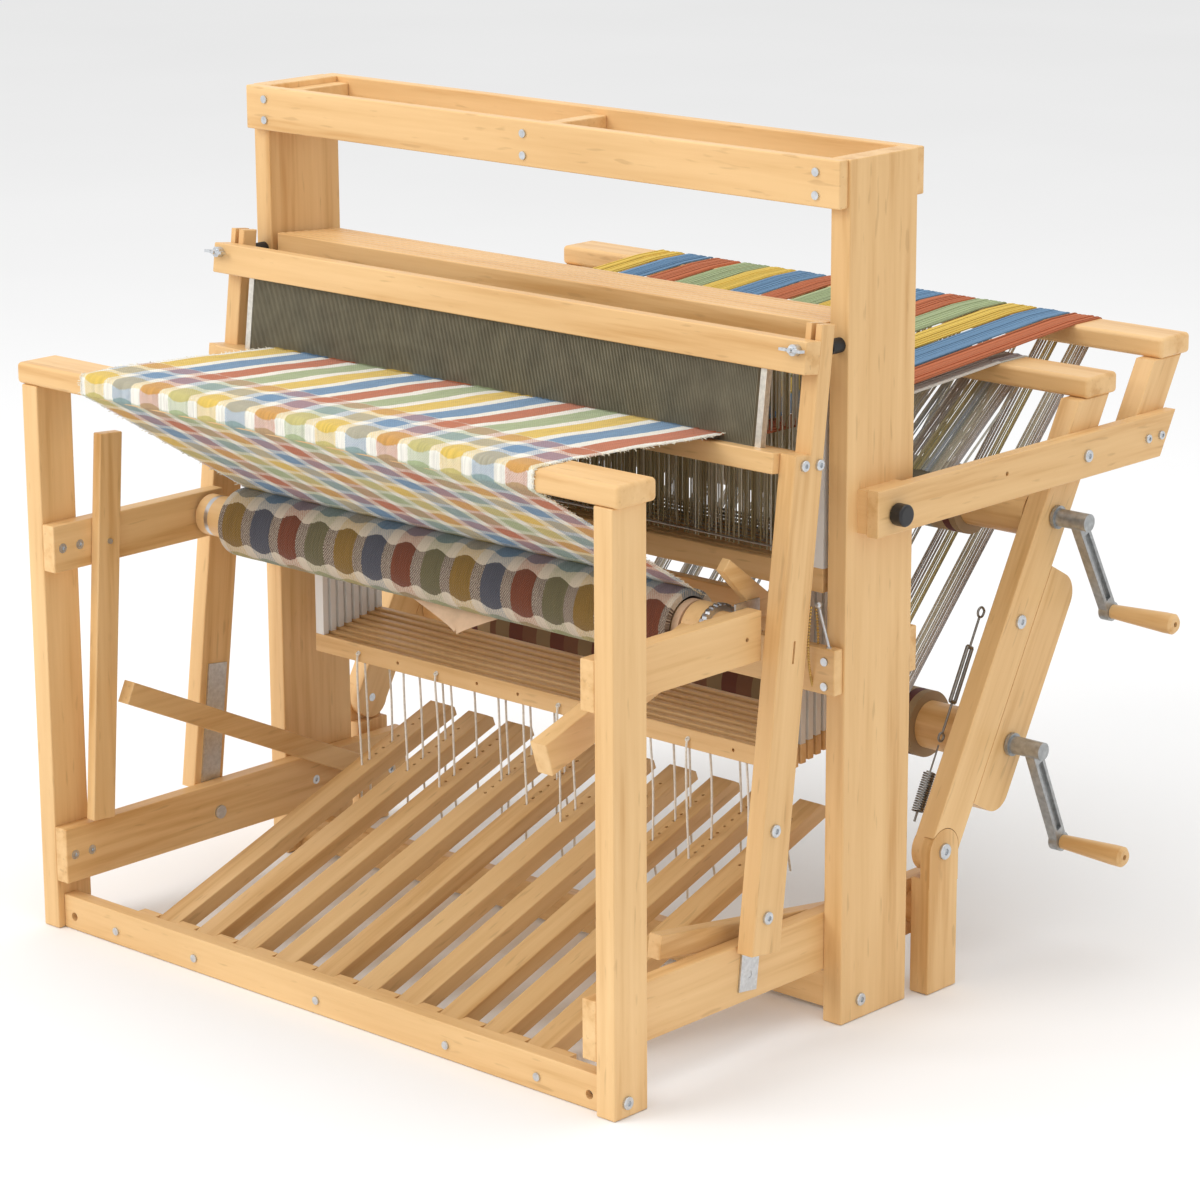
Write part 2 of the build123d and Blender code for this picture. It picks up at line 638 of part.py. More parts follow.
def rear_uprights():
    """Two leaning posts, half lapped at the foot for the hinge."""
    upper_axle = leaned(upper_beam_across, upper_beam_along)

    def upright(side):
        outline = [leaned(-upright_half, 0), leaned(upright_half, 0)]
        outline += [leaned_at_height(upright_half, inner_beam_low)]
        outline += [leaned_at_height(-upright_half, inner_beam_low)]
        piece = softened(side_shape(outline, span(side, leg_in, leg_out)))
        outer = span(side, lap, leg_out + 1)
        piece -= rod(tongue + 1.0, outer, hinge_y, hinge_z)
        inner = span(side, leg_in, lap)
        piece += rod(tongue, inner, hinge_y, hinge_z)
        piece -= rod(hinge_radius + bolt_gap, (-leg_out, leg_out), hinge_y, hinge_z)
        piece -= rod(axle_radius + bolt_gap, (-leg_out - 1, leg_out + 1), *upper_axle)
        for y, z in upright_bolts:
            piece -= rod(3.0 + bolt_gap, (-leg_out - 1, leg_out + 1), y, z)
        return piece
    return both_sides(upright)


def brace_boards():
    """Long boards that lock the rear frame to the castle."""
    def brace(side):
        outline = [(brace_front, brace_low), leaned_at_height(135.0, brace_low)]
        outline += [leaned_at_height(135.0, brace_high), (brace_front, brace_high)]
        piece = softened(side_shape(outline, span(side, *brace_x)))
        reach = (-brace_x[1] - 1, brace_x[1] + 1)
        piece -= rod(4.0 + bolt_gap, reach, knob_y, knob_z)
        piece -= rod(peep_radius, reach, *spare_hole)
        for y, z in upright_bolts + brace_screws:
            piece -= rod(3.0 + bolt_gap, reach, y, z)
        return piece
    return both_sides(brace)


def rear_side_boards():
    """Short posts of the outer back beam and rounded boards behind the uprights."""
    pieces = []
    for side in (-1, 1):
        x = span(side, leg_in, leg_out)
        outline = [leaned_at_height(across, brace_low) for across in (outer_post_near, outer_post_far)]
        outline += [leaned_at_height(outer_post_far, outer_beam_low)]
        outline += [leaned_at_height(outer_post_near, outer_beam_low)]
        post = softened(side_shape(outline, x))
        for y, z in brace_screws:
            post -= rod(3.0 + bolt_gap, (x[0] - 1, x[1] + 1), y, z)
        pieces.append(post)
        outline = [leaned(upright_half, side_board_low), leaned(side_board_far, side_board_low)]
        outline += [leaned(side_board_far, side_board_high), leaned(upright_half, side_board_high)]
        backing = side_shape(outline, x)
        backing = fillet(far_corners(backing), 25.0)
        bore = (x[0] - 1, x[1] + 1)
        backing -= rod(axle_radius + bolt_gap, bore, *leaned(lower_beam_across, lower_beam_along))
        pieces.append(backing)
    return pieces


def far_corners(backing):
    """The two edges along X that are farthest from the upright."""
    angle = radians(lean)
    away = Vector(0, cos(angle), -sin(angle))
    edges = backing.edges().filter_by(Axis.X)
    return sorted(edges, key=lambda edge: edge.center().dot(away))[-2:]


def back_beam(front, low):
    """A flat beam across the rear frame."""
    x = (-back_beam_half, back_beam_half)
    return timber(x, (front, front + back_beam_depth), (low, low + back_beam_thick), beam_round)


def rear_hardware():
    """Bolts of the rear frame."""
    pieces = []
    for side in (-1, 1):
        for y, z in upright_bolts:
            pieces.append(through_bolt(side, leg_in, brace_x[1], y, z))
        for y, z in brace_screws:
            pieces.append(through_bolt(side, leg_in, brace_x[1], y, z, 3.0, 5.0))
        y, z = side_board_bolt
        pieces.append(bolt_head(side, leg_out, y, z, 8.0))
    return pieces


def brace_knob(side):
    """A round hand knob with its stud through the brace."""
    x = brace_x[1] + body_gap
    stud = rod(4.0, span(side, leg_out + 1, x + 8), knob_y, knob_z)
    grip = rod(knob_radius, span(side, x, x + 16), knob_y, knob_z)
    grip = fillet(grip.edges(), 3.0)
    return grip + stud


def warp_beam(y, z):
    """A warp beam with its wound warp and axle ends."""
    core = rod(warp_beam_radius, (-leg_in + 1, leg_in - 1), y, z)
    wound = rod(warp_roll_radius, (-warp_half, warp_half), y, z)
    axle = rod(axle_radius, (-leg_out - 1.5, leg_out + 1.5), y, z)
    return core + wound + axle


def crank(y, z, turn):
    """A cast crank on the right end of a warp beam."""
    start = leg_out + 1.5
    hub = rod(13.0, (start, start + 4), y, z)
    hub += rod(10.0, (start, crank_end), y, z)
    arm = box((crank_face - 8, crank_face + 4), (-8, 8), (-crank_length, 0))
    arm -= box((crank_face, crank_face + 5), (-4, 4), (-crank_length + 18, -18))
    arm += rod(11.0, (crank_face - 8, crank_face + 4), 0, -crank_length)
    arm += rod(handle_bore, (crank_face, handle_end - 6), 0, -crank_length)
    arm = Pos(0, y, z) * Rot(turn, 0, 0) * arm
    return hub + arm


def crank_handle(y, z, turn):
    """A turned wooden handle that spins on the crank's pin."""
    start = crank_face + 4 + body_gap
    end = handle_end
    outline = [(start, handle_bore + bolt_gap), (start, handle_small)]
    outline += [(end - 14, handle_large), (end - 3, handle_large), (end, handle_large - 3)]
    outline += [(end, handle_bore + bolt_gap)]
    face = make_face(Polyline(*outline, close=True))
    grip = revolve(face, Axis.X)
    return Pos(0, y, z) * Rot(turn, 0, 0) * Pos(0, 0, -crank_length) * grip


def warp():
    """The warp between castle and back beams, as two thin sheets in one."""
    inner_top = inner_beam_low + back_beam_thick
    outer_top = outer_beam_low + back_beam_thick
    outline = [(500, 648), (outer_beam_front, outer_top + 1), (outer_beam_front, outer_top + 3)]
    outline += [(500, 652)]
    upper = side_shape(outline, (-warp_half, warp_half))
    outline = [(500, 640), (inner_beam_front, inner_top + 1), (inner_beam_front, inner_top + 3)]
    outline += [(500, 643)]
    lower = side_shape(outline, (-warp_half, warp_half))
    return [upper, lower]


def save(name, pieces):
    """Writes one sub-part, moved so that the origin lies under the foot bar."""
    if not isinstance(pieces, list):
        pieces = [pieces]
    solids = []
    for piece in pieces:
        solids += (Pos(0, -foot_bar_middle, 0) * piece).solids()
    export_step(Compound(children=solids), f"parts/{name}.step")


os.makedirs("parts", exist_ok=True)
upper_axle = leaned(upper_beam_across, upper_beam_along)
lower_axle = leaned(lower_beam_across, lower_beam_along)

save("front_posts", front_posts())
save("foot_bar", foot_bar())
save("breast_beam", breast_beam())
save("upper_side_rails", upper_side_rails())
save("lower_side_rails", lower_side_rails())
save("castle_post_left", castle_post(-1))
save("castle_post_right", castle_post(1))
save("castle_top_rails", castle_top_rails())
save("castle_mid_rails", castle_rail_pair(mid_rail_low, mid_rail_high))
save("castle_stretcher", castle_stretcher())
save("rear_legs", rear_legs())
save("frame_spacers", frame_spacers())
save("frame_hardware", frame_hardware())
save("cloth", cloth())
for number in range(1, treadle_count + 1):
    save(f"treadle_{number}", treadle(number))
for number in range(1, shaft_count + 1):
    save(f"shaft_{number}", shaft(number))
save("beater_swords", beater_swords())
save("race_board", race_board())
save("reed", reed())
save("reed_cap", reed_cap())
save("cap_nuts", cap_nuts())
save("beater_hardware", beater_hardware())
save("cloth_beam", cloth_beam())
save("cloth_roll", cloth_roll())
save("advance_lever", advance_lever())
save("pawl_lever", pawl_lever())
save("brake_pedal_left", brake_pedal_left())
save("brake_pedal_right", brake_pedal_right())
save("prop_bar", prop_bar())
save("rear_uprights", rear_uprights())
save("brace_boards", brace_boards())
save("rear_side_boards", rear_side_boards())
save("inner_back_beam", back_beam(inner_beam_front, inner_beam_low))
save("outer_back_beam", back_beam(outer_beam_front, outer_beam_low))
save("rear_hardware", rear_hardware())
save("brace_knob_left", brace_knob(-1))
save("brace_knob_right", brace_knob(1))
save("upper_warp_beam", warp_beam(*upper_axle))
save("lower_warp_beam", warp_beam(*lower_axle))
save("upper_crank", crank(*upper_axle, upper_crank_turn))
save("lower_crank", crank(*lower_axle, lower_crank_turn))
save("upper_crank_handle", crank_handle(*upper_axle, upper_crank_turn))
save("lower_crank_handle", crank_handle(*lower_axle, lower_crank_turn))
save("warp", warp())
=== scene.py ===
"""Floor loom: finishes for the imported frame, and its cloth, threads, cords and small wire pieces."""

import json
import math
import random

import bpy
from mathutils import Matrix, Vector

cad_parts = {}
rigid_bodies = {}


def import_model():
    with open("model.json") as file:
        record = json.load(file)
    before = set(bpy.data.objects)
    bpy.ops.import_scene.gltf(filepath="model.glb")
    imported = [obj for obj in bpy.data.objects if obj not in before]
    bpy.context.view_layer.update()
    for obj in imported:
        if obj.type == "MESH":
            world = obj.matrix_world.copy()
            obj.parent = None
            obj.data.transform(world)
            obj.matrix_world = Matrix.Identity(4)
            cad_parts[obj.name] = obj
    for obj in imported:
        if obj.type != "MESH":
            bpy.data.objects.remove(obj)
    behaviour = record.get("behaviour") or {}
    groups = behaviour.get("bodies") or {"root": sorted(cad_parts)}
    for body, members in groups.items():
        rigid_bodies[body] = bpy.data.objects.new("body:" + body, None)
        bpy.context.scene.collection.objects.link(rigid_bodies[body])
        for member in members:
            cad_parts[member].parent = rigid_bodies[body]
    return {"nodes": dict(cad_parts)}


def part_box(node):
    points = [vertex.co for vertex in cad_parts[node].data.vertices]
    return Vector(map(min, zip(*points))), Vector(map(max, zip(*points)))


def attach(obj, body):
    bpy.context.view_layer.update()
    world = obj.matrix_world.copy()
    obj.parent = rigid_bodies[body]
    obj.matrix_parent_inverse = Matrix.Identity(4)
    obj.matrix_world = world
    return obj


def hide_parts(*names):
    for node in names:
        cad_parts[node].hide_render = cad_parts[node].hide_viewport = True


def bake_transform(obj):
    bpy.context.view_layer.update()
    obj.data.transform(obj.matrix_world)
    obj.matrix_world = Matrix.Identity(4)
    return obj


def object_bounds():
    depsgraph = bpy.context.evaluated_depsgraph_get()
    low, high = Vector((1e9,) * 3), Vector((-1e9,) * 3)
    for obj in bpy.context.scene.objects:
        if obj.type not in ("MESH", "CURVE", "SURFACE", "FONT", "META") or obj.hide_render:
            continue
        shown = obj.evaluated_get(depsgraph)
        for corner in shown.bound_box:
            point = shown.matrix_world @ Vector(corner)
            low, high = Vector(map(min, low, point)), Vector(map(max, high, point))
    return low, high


bl_info = {
    "name": "Floor Loom",
    "version": (1, 0, 0),
    "blender": (4, 5, 0),
    "location": "View3D > Sidebar > Loom",
    "description": "Dresses a floor loom with maple, woven cloth, warp threads, heddles and cords",
    "category": "Object",
}

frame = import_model()
cad_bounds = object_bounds()

UPRIGHT_LEAN = math.radians(29.0)
BEATER_LEAN = math.radians(7.0)
TREADLE_SLOPE = math.radians(19.9)
STRIPE_PITCH = 0.0455
STRIPE_SHARE = 0.66
THREAD_PITCH = 0.0021
THREAD_GAP = 0.0012
BEAM_CORNER = 0.005
FELL_DROP = 0.0145
TREADLES = 10
SHAFTS = 8
FAR = 9.0
ROUGH_EDGE_ANGLE = math.radians(40)


# ---------------------------------------------------------------- settings


class LoomCloth(bpy.types.PropertyGroup):
    """Colours and measures of the weaving."""

    yellow: bpy.props.FloatVectorProperty(
        name="Yellow", description="Yellow stripes", subtype="COLOR", default=(0.76, 0.53, 0.11)
    )
    blue: bpy.props.FloatVectorProperty(
        name="Blue", description="Blue stripes", subtype="COLOR", default=(0.165, 0.295, 0.455)
    )
    rust: bpy.props.FloatVectorProperty(
        name="Rust", description="Rust stripes", subtype="COLOR", default=(0.53, 0.165, 0.075)
    )
    sage: bpy.props.FloatVectorProperty(
        name="Sage", description="Sage stripes", subtype="COLOR", default=(0.40, 0.47, 0.26)
    )
    white: bpy.props.FloatVectorProperty(
        name="White", description="Natural white cotton", subtype="COLOR", default=(0.88, 0.85, 0.76)
    )
    thickness: bpy.props.FloatProperty(
        name="Thickness", description="Thickness of the cloth", unit="LENGTH", default=0.0012
    )
    thread_pitch: bpy.props.FloatProperty(
        name="Thread pitch", description="Distance between warp threads", unit="LENGTH", default=THREAD_PITCH
    )


class LoomWood(bpy.types.PropertyGroup):
    """Colours of the maple."""

    light: bpy.props.FloatVectorProperty(
        name="Light", description="Wood between growth lines", subtype="COLOR", default=(0.86, 0.57, 0.275)
    )
    dark: bpy.props.FloatVectorProperty(
        name="Dark", description="Dark growth lines", subtype="COLOR", default=(0.66, 0.375, 0.14)
    )


class LoomView(bpy.types.PropertyGroup):
    """Where the camera stands."""

    place: bpy.props.FloatVectorProperty(
        name="Place", description="Camera position", subtype="XYZ", default=(2.9535, -2.7629, 1.5476)
    )
    turn: bpy.props.FloatProperty(name="Turn", description="Turn about Z, degrees", default=42.617)
    tilt: bpy.props.FloatProperty(name="Tilt", description="Downward tilt, degrees", default=15.079)
    roll: bpy.props.FloatProperty(name="Roll", description="Roll, degrees", default=-0.288)
    lens: bpy.props.FloatProperty(name="Lens", description="Focal length, millimetres", default=118.84)


# ---------------------------------------------------------------- node helpers


class Finish:
    """A material whose nodes are added one by one."""

    def __init__(self, name):
        self.material = bpy.data.materials.new(name)
        self.material.use_nodes = True
        self.tree = self.material.node_tree
        self.shader = self.tree.nodes["Principled BSDF"]
        self.output = self.tree.nodes["Material Output"]
        self.coords = self.node("ShaderNodeTexCoord")

    def node(self, kind, inputs=None, **settings):
        """Adds a node, sets its settings, and links or sets its inputs."""
        made = self.tree.nodes.new(kind)
        for key, value in settings.items():
            setattr(made, key, value)
        for key, value in (inputs or {}).items():
            self.give(made.inputs[key], value)
        return made

    def give(self, socket, value):
        """Links an output to an input, or sets the input's value."""
        if isinstance(value, bpy.types.NodeSocket):
            self.tree.links.new(value, socket)
        else:
            socket.default_value = value

    def math(self, operation, first, second=0.0):
        """The result of a sum or test of one or two values."""
        made = self.node("ShaderNodeMath", {0: first, 1: second}, operation=operation)
        return made.outputs[0]

    def noise(self, vector, scale, detail=3.0, roughness=0.5):
        """A cloudy pattern from 0 to 1."""
        values = {"Vector": vector, "Scale": scale, "Detail": detail, "Roughness": roughness}
        return self.node("ShaderNodeTexNoise", values).outputs["Fac"]

    def ramp(self, factor, stops, interpolation="LINEAR"):
        """A colour ramp; stops are (position, colour) pairs."""
        made = self.node("ShaderNodeValToRGB", {"Fac": factor})
        made.color_ramp.interpolation = interpolation
        elements = made.color_ramp.elements
        while len(elements) < len(stops):
            elements.new(0.5)
        for element, (position, colour) in zip(elements, stops):
            element.position = position
            element.color = (*colour, 1.0)
        return made.outputs["Color"]

    def mix(self, factor, first, second, blend="MIX"):
        """Two colours blended by a factor."""
        made = self.node("ShaderNodeMix", data_type="RGBA", blend_type=blend)
        self.give(made.inputs[0], factor)
        for socket, value in ((made.inputs[6], first), (made.inputs[7], second)):
            self.give(socket, (*value, 1.0) if isinstance(value, tuple) else value)
        return made.outputs[2]

    def bump(self, height, strength, distance):
        """Raises the surface by a height pattern."""
        made = self.node("ShaderNodeBump", {"Height": height, "Strength": strength, "Distance": distance})
        self.give(self.shader.inputs["Normal"], made.outputs["Normal"])

    def grain_vector(self, along, angle=0.0):
        """Object coordinates with the grain turned to Z and drawn out along it."""
        quarter = math.radians(90)
        turns = {"X": (0.0, quarter, 0.0), "Y": (quarter, 0.0, 0.0), "Z": (angle, 0.0, 0.0)}
        place = self.coords.outputs["Object"]
        turned = self.node("ShaderNodeMapping", {"Vector": place, "Rotation": turns[along]})
        drawn = self.node("ShaderNodeMapping", {"Vector": turned.outputs[0], "Scale": (1.0, 1.0, 0.05)})
        return drawn.outputs[0]

    def inside(self, low, high):
        """One inside a box, nothing outside. X is taken without its sign, and limits of FAR aren't tested."""
        parts = self.node("ShaderNodeSeparateXYZ", {0: self.coords.outputs["Object"]})
        total = None
        for axis in range(3):
            value = parts.outputs[axis]
            if axis == 0:
                value = self.math("ABSOLUTE", value)
            for operation, limit in (("GREATER_THAN", low[axis]), ("LESS_THAN", high[axis])):
                if abs(limit) == FAR:
                    continue
                test = self.math(operation, value, limit)
                total = test if total is None else self.math("MULTIPLY", total, test)
        return total

    def second_finish(self, mask, colour, roughness, metallic=0.0):
        """Another plain shader where the mask is one."""
        other = self.node("ShaderNodeBsdfPrincipled", {"Roughness": roughness, "Metallic": metallic})
        self.give(other.inputs["Base Color"], colour)
        surface = self.output.inputs["Surface"].links[0].from_socket
        mixed = self.node("ShaderNodeMixShader", {0: mask, 1: surface, 2: other.outputs[0]})
        self.give(self.output.inputs["Surface"], mixed.outputs[0])
        return other


def speckled(finish, base, spread, scale):
    """A plain colour with slight cloudy variation."""
    noise = finish.noise(finish.coords.outputs["Object"], scale)
    low = tuple(c * (1.0 - spread) for c in base)
    high = tuple(min(1.0, c * (1.0 + spread)) for c in base)
    return finish.ramp(noise, [(0.3, low), (0.7, high)])


# ---------------------------------------------------------------- materials


def maple(name, along, angle=0.0, shade=1.0):
    """Clear-finished hard maple with its grain along an axis."""
    wood = bpy.context.scene.loom_wood
    light = tuple(c * shade for c in wood.light)
    dark = tuple(c * shade for c in wood.dark)
    finish = Finish(name)
    vector = finish.grain_vector(along, angle)
    wide = finish.noise(vector, 26.0, 3.0, 0.55)
    rings = finish.noise(vector, 75.0, 4.0, 0.6)
    fibre = finish.noise(vector, 700.0, 2.0, 0.6)
    total = finish.math("ADD", finish.math("MULTIPLY", wide, 0.5), finish.math("MULTIPLY", rings, 0.5))
    middle = tuple(0.35 * deep + 0.65 * pale for deep, pale in zip(dark, light))
    colour = finish.ramp(total, [(0.36, dark), (0.47, middle), (0.62, light)])
    shortened = finish.node("ShaderNodeMapping", {"Vector": vector, "Scale": (1.0, 1.0, 3.0)})
    flecks = finish.noise(shortened.outputs[0], 170.0, 1.0, 0.4)
    fleck_mask = finish.ramp(flecks, [(0.68, (0, 0, 0)), (0.76, (0.30, 0.30, 0.30))])
    colour = finish.mix(fleck_mask, colour, tuple(c * 0.62 for c in dark))
    board = finish.noise(finish.coords.outputs["Object"], 3.1, 1.0)
    tone = finish.ramp(board, [(0.35, (0.92, 0.90, 0.86)), (0.65, (1.0, 1.0, 1.0))])
    colour = finish.mix(1.0, colour, tone, "MULTIPLY")
    finish.give(finish.shader.inputs["Base Color"], colour)
    gloss = finish.ramp(fibre, [(0.3, (0.34,) * 3), (0.8, (0.5,) * 3)])
    finish.give(finish.shader.inputs["Roughness"], gloss)
    finish.shader.inputs["Specular IOR Level"].default_value = 0.35
    finish.bump(fibre, 0.12, 0.0004)
    return finish


def zinc_steel(name, base=(0.62, 0.64, 0.66), roughness=0.32):
    """Zinc-plated steel with faint cloudiness."""
    finish = Finish(name)
    finish.give(finish.shader.inputs["Base Color"], speckled(finish, base, 0.12, 220.0))
    finish.shader.inputs["Metallic"].default_value = 1.0
    wear = finish.noise(finish.coords.outputs["Object"], 900.0)
    dull = finish.ramp(wear, [(0.3, (roughness,) * 3), (0.8, (roughness + 0.18,) * 3)])
    finish.give(finish.shader.inputs["Roughness"], dull)
    finish.bump(wear, 0.08, 0.0003)
    return finish


def cast_metal(name):
    """Grey cast metal with a sandy skin."""
    finish = Finish(name)
    finish.give(finish.shader.inputs["Base Color"], speckled(finish, (0.40, 0.41, 0.41), 0.18, 160.0))
    finish.shader.inputs["Metallic"].default_value = 0.85
    finish.shader.inputs["Roughness"].default_value = 0.45
    finish.bump(finish.noise(finish.coords.outputs["Object"], 1300.0, 2.0), 0.35, 0.0004)
    return finish


def plain(name, base, roughness, spread=0.05, scale=120.0, bump=0.1):
    """Moulded plastic, rubber, paper or cord with a fine surface."""
    finish = Finish(name)
    finish.give(finish.shader.inputs["Base Color"], speckled(finish, base, spread, scale))
    finish.shader.inputs["Roughness"].default_value = roughness
    finish.bump(finish.noise(finish.coords.outputs["Object"], 1500.0, 2.0), bump, 0.0003)
    return finish


def palette():
    """The four stripe colours, and the white between them."""
    cloth = bpy.context.scene.loom_cloth
    return [tuple(tone) for tone in (cloth.yellow, cloth.blue, cloth.rust, cloth.sage)], tuple(cloth.white)


def band_colours(finish, value, pitch, colours):
    """Colours that follow each other in bands of one pitch."""
    count = len(colours)
    spot = finish.math("FRACT", finish.math("DIVIDE", value, pitch * count))
    return finish.ramp(spot, [(index / count, tone) for index, tone in enumerate(colours)], "CONSTANT")


def from_middle(finish, value, pitch):
    """Distance from the middle of the nearest band, as a share of the pitch."""
    place = finish.math("FRACT", finish.math("DIVIDE", value, pitch))
    return finish.math("ABSOLUTE", finish.math("SUBTRACT", place, 0.5))


def woven(name, bare, weft_start, weft_pitch, wefts, weft_share=0.46, fill=STRIPE_SHARE, tone_and_painted_shade=(1.0,) * 3):
    """Cloth: warp stripes across U and scalloped weft bands along V, in metres, with no weft up to bare."""
    loose_fibre, wander, scallop, thread_step = 0.0034, 0.006, 0.055, 0.0030
    colours, white = palette()
    finish = Finish(name)
    weave_uv = finish.coords.outputs["UV"]
    place = finish.node("ShaderNodeSeparateXYZ", {0: weave_uv})
    across, along = place.outputs[0], place.outputs[1]
    fuzz = finish.math("SUBTRACT", finish.noise(weave_uv, 420.0), 0.5)
    drift = finish.math("SUBTRACT", finish.noise(weave_uv, 14.0, 1.0), 0.5)
    fuzz = finish.math("MULTIPLY", fuzz, loose_fibre)
    unsteady = finish.math("ADD", fuzz, finish.math("MULTIPLY", drift, wander))
    across = finish.math("ADD", across, unsteady)
    warp_band = band_colours(finish, across, STRIPE_PITCH, colours)
    warp_mask = finish.math("LESS_THAN", from_middle(finish, across, STRIPE_PITCH), STRIPE_SHARE / 2)
    warp = finish.mix(warp_mask, white, warp_band)
    run = finish.math("ADD", finish.math("SUBTRACT", along, weft_start), unsteady)
    weft_band = band_colours(finish, run, weft_pitch, wefts)
    from_stripe = finish.math("SUBTRACT", across, STRIPE_PITCH / 2)
    swell = finish.math("COSINE", finish.math("MULTIPLY", from_stripe, 2 * math.pi / STRIPE_PITCH))
    reach = finish.math("ADD", finish.math("MULTIPLY", swell, scallop), fill / 2)
    weft_mask = finish.math("LESS_THAN", from_middle(finish, run, weft_pitch), reach)
    weft = finish.mix(weft_mask, white, weft_band)
    turn = 2 * math.pi / thread_step
    waves = [finish.math("SINE", finish.math("MULTIPLY", value, turn)) for value in (across, along)]
    weave = finish.math("MULTIPLY", waves[0], waves[1])
    plain_area = finish.math("MULTIPLY", warp_mask, weft_mask)
    dots = finish.math("SUBTRACT", 0.42, finish.math("MULTIPLY", plain_area, 0.36))
    share = finish.math("ADD", finish.math("MULTIPLY", weave, dots), weft_share)
    done = finish.math("GREATER_THAN", finish.math("ADD", along, unsteady), bare)
    share = finish.math("MULTIPLY", finish.node("ShaderNodeClamp", {0: share}).outputs[0], done)
    colour = finish.mix(share, warp, weft)
    fine = finish.node("ShaderNodeMapping", {"Vector": weave_uv, "Scale": (1.0, 0.05, 1.0)}).outputs[0]
    thread = finish.noise(fine, 520.0, 2.0)
    # The thread lines are multiplied by the last argument: white for the cloth, so nothing changes, and
    # painted shade on the wound roll, for the shadow of the cloth above it.
    lines = finish.ramp(thread, [(0.30, tuple(0.74 * part for part in tone_and_painted_shade)), (0.62, tone_and_painted_shade)])
    colour = finish.mix(0.85, colour, lines, "MULTIPLY")
    finish.give(finish.shader.inputs["Base Color"], colour)
    finish.shader.inputs["Roughness"].default_value = 0.92
    finish.shader.inputs["Specular IOR Level"].default_value = 0.15
    finish.shader.inputs["Sheen Weight"].default_value = 0.2
    height = finish.math("ADD", weave, finish.math("MULTIPLY", thread, 1.5))
    finish.bump(height, 0.6, 0.0006)
    return finish


def striped_threads(name, colours):
    """Warp threads in bands of colour across the loom, each thread a little lighter or darker."""
    finish = Finish(name)
    place = finish.node("ShaderNodeSeparateXYZ", {0: finish.coords.outputs["Object"]})
    across = finish.math("ADD", place.outputs[0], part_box("cloth")[1].x)
    return thread_surface(finish, across, band_colours(finish, across, STRIPE_PITCH, colours), 0.74)


def mixed_threads(name, tones):
    """Warp threads in mixed soft tones, where neighbours keep together in narrow groups."""
    group = 0.0155
    finish = Finish(name)
    place = finish.node("ShaderNodeSeparateXYZ", {0: finish.coords.outputs["Object"]})
    across = finish.math("ADD", place.outputs[0], 1.0)
    number = finish.math("FLOOR", finish.math("DIVIDE", across, group))
    chance = finish.node("ShaderNodeTexWhiteNoise", {"W": number}, noise_dimensions="1D").outputs["Value"]
    stops = [(index / len(tones), tone) for index, tone in enumerate(tones)]
    grouped = finish.ramp(chance, stops, "CONSTANT")
    own = finish.node("ShaderNodeTexWhiteNoise", noise_dimensions="1D")
    finish.give(own.inputs["W"], finish.math("FLOOR", finish.math("DIVIDE", across, THREAD_PITCH)))
    single = finish.ramp(own.outputs["Value"], stops, "CONSTANT")
    return thread_surface(finish, across, finish.mix(0.4, grouped, single), 0.72)


def thread_surface(finish, across, base, low):
    """The rough surface of cotton threads over a base colour, darkened at most to the low share."""
    shade_step = 0.0017
    number = finish.math("FLOOR", finish.math("DIVIDE", across, shade_step))
    chance = finish.node("ShaderNodeTexWhiteNoise", {"W": number}, noise_dimensions="1D")
    tone_and_painted_shade = finish.ramp(chance.outputs["Value"], [(0.0, (low, low, low)), (1.0, (1.0, 1.0, 1.0))])
    finish.give(finish.shader.inputs["Base Color"], finish.mix(1.0, base, tone_and_painted_shade, "MULTIPLY"))
    finish.shader.inputs["Roughness"].default_value = 0.85
    finish.shader.inputs["Specular IOR Level"].default_value = 0.2
    finish.bump(finish.noise(finish.coords.outputs["Object"], 1800.0, 2.0), 0.4, 0.0004)
    return finish


# ---------------------------------------------------------------- modelling helpers


def deselect():
    """Leaves nothing selected."""
    bpy.ops.object.select_all(action="DESELECT")


def take(piece):
    """Makes a piece the only selected and active one."""
    deselect()
    piece.select_set(True)
    bpy.context.view_layer.objects.active = piece


def dress(piece, name, finish, body):
    """Names a piece, gives it its finish, and lets it ride on a body, if one is named."""
    piece.name = name
    piece.data.name = name
    piece.data.materials.clear()
    piece.data.materials.append(finish.material)
    if body:
        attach(piece, body)
    return piece


def paint(finish, *nodes):
    """Gives nodes of the frame a finish."""
    for name in nodes:
        data = frame["nodes"][name].data
        data.materials.clear()
        data.materials.append(finish.material)


def apply_place(piece):
    """Puts a piece's place, turn and scale into its mesh."""
    take(piece)
    bpy.ops.object.transform_apply(location=True, rotation=True, scale=True)


def outward(piece):
    """Merges doubles and turns all faces outwards."""
    take(piece)
    bpy.ops.object.mode_set(mode="EDIT")
    bpy.ops.mesh.select_all(action="SELECT")
    bpy.ops.mesh.remove_doubles(threshold=0.00001)
    bpy.ops.mesh.normals_make_consistent(inside=False)
    bpy.ops.object.mode_set(mode="OBJECT")


def modified(piece, kind, **settings):
    """Adds a modifier and applies it."""
    take(piece)
    modifier = piece.modifiers.new(kind.title(), kind)
    for key, value in settings.items():
        setattr(modifier, key, value)
    bpy.ops.object.modifier_apply(modifier=modifier.name)


def strand(route, width, thick, face_turn):
    """One thread: a small rectangle extruded from point to point of a route in Y and Z."""
    deselect()
    start = Vector(route[0])
    bpy.ops.mesh.primitive_plane_add(size=1.0, location=start, rotation=(face_turn, 0.0, 0.0))
    piece = bpy.context.object
    piece.scale = (width, thick, 1.0)
    apply_place(piece)
    bpy.ops.object.mode_set(mode="EDIT")
    bpy.ops.mesh.select_all(action="SELECT")
    for first, second in zip(route, route[1:]):
        step = Vector(second) - Vector(first)
        bpy.ops.mesh.extrude_region_move(TRANSFORM_OT_translate={"value": step})
    bpy.ops.object.mode_set(mode="OBJECT")
    return piece


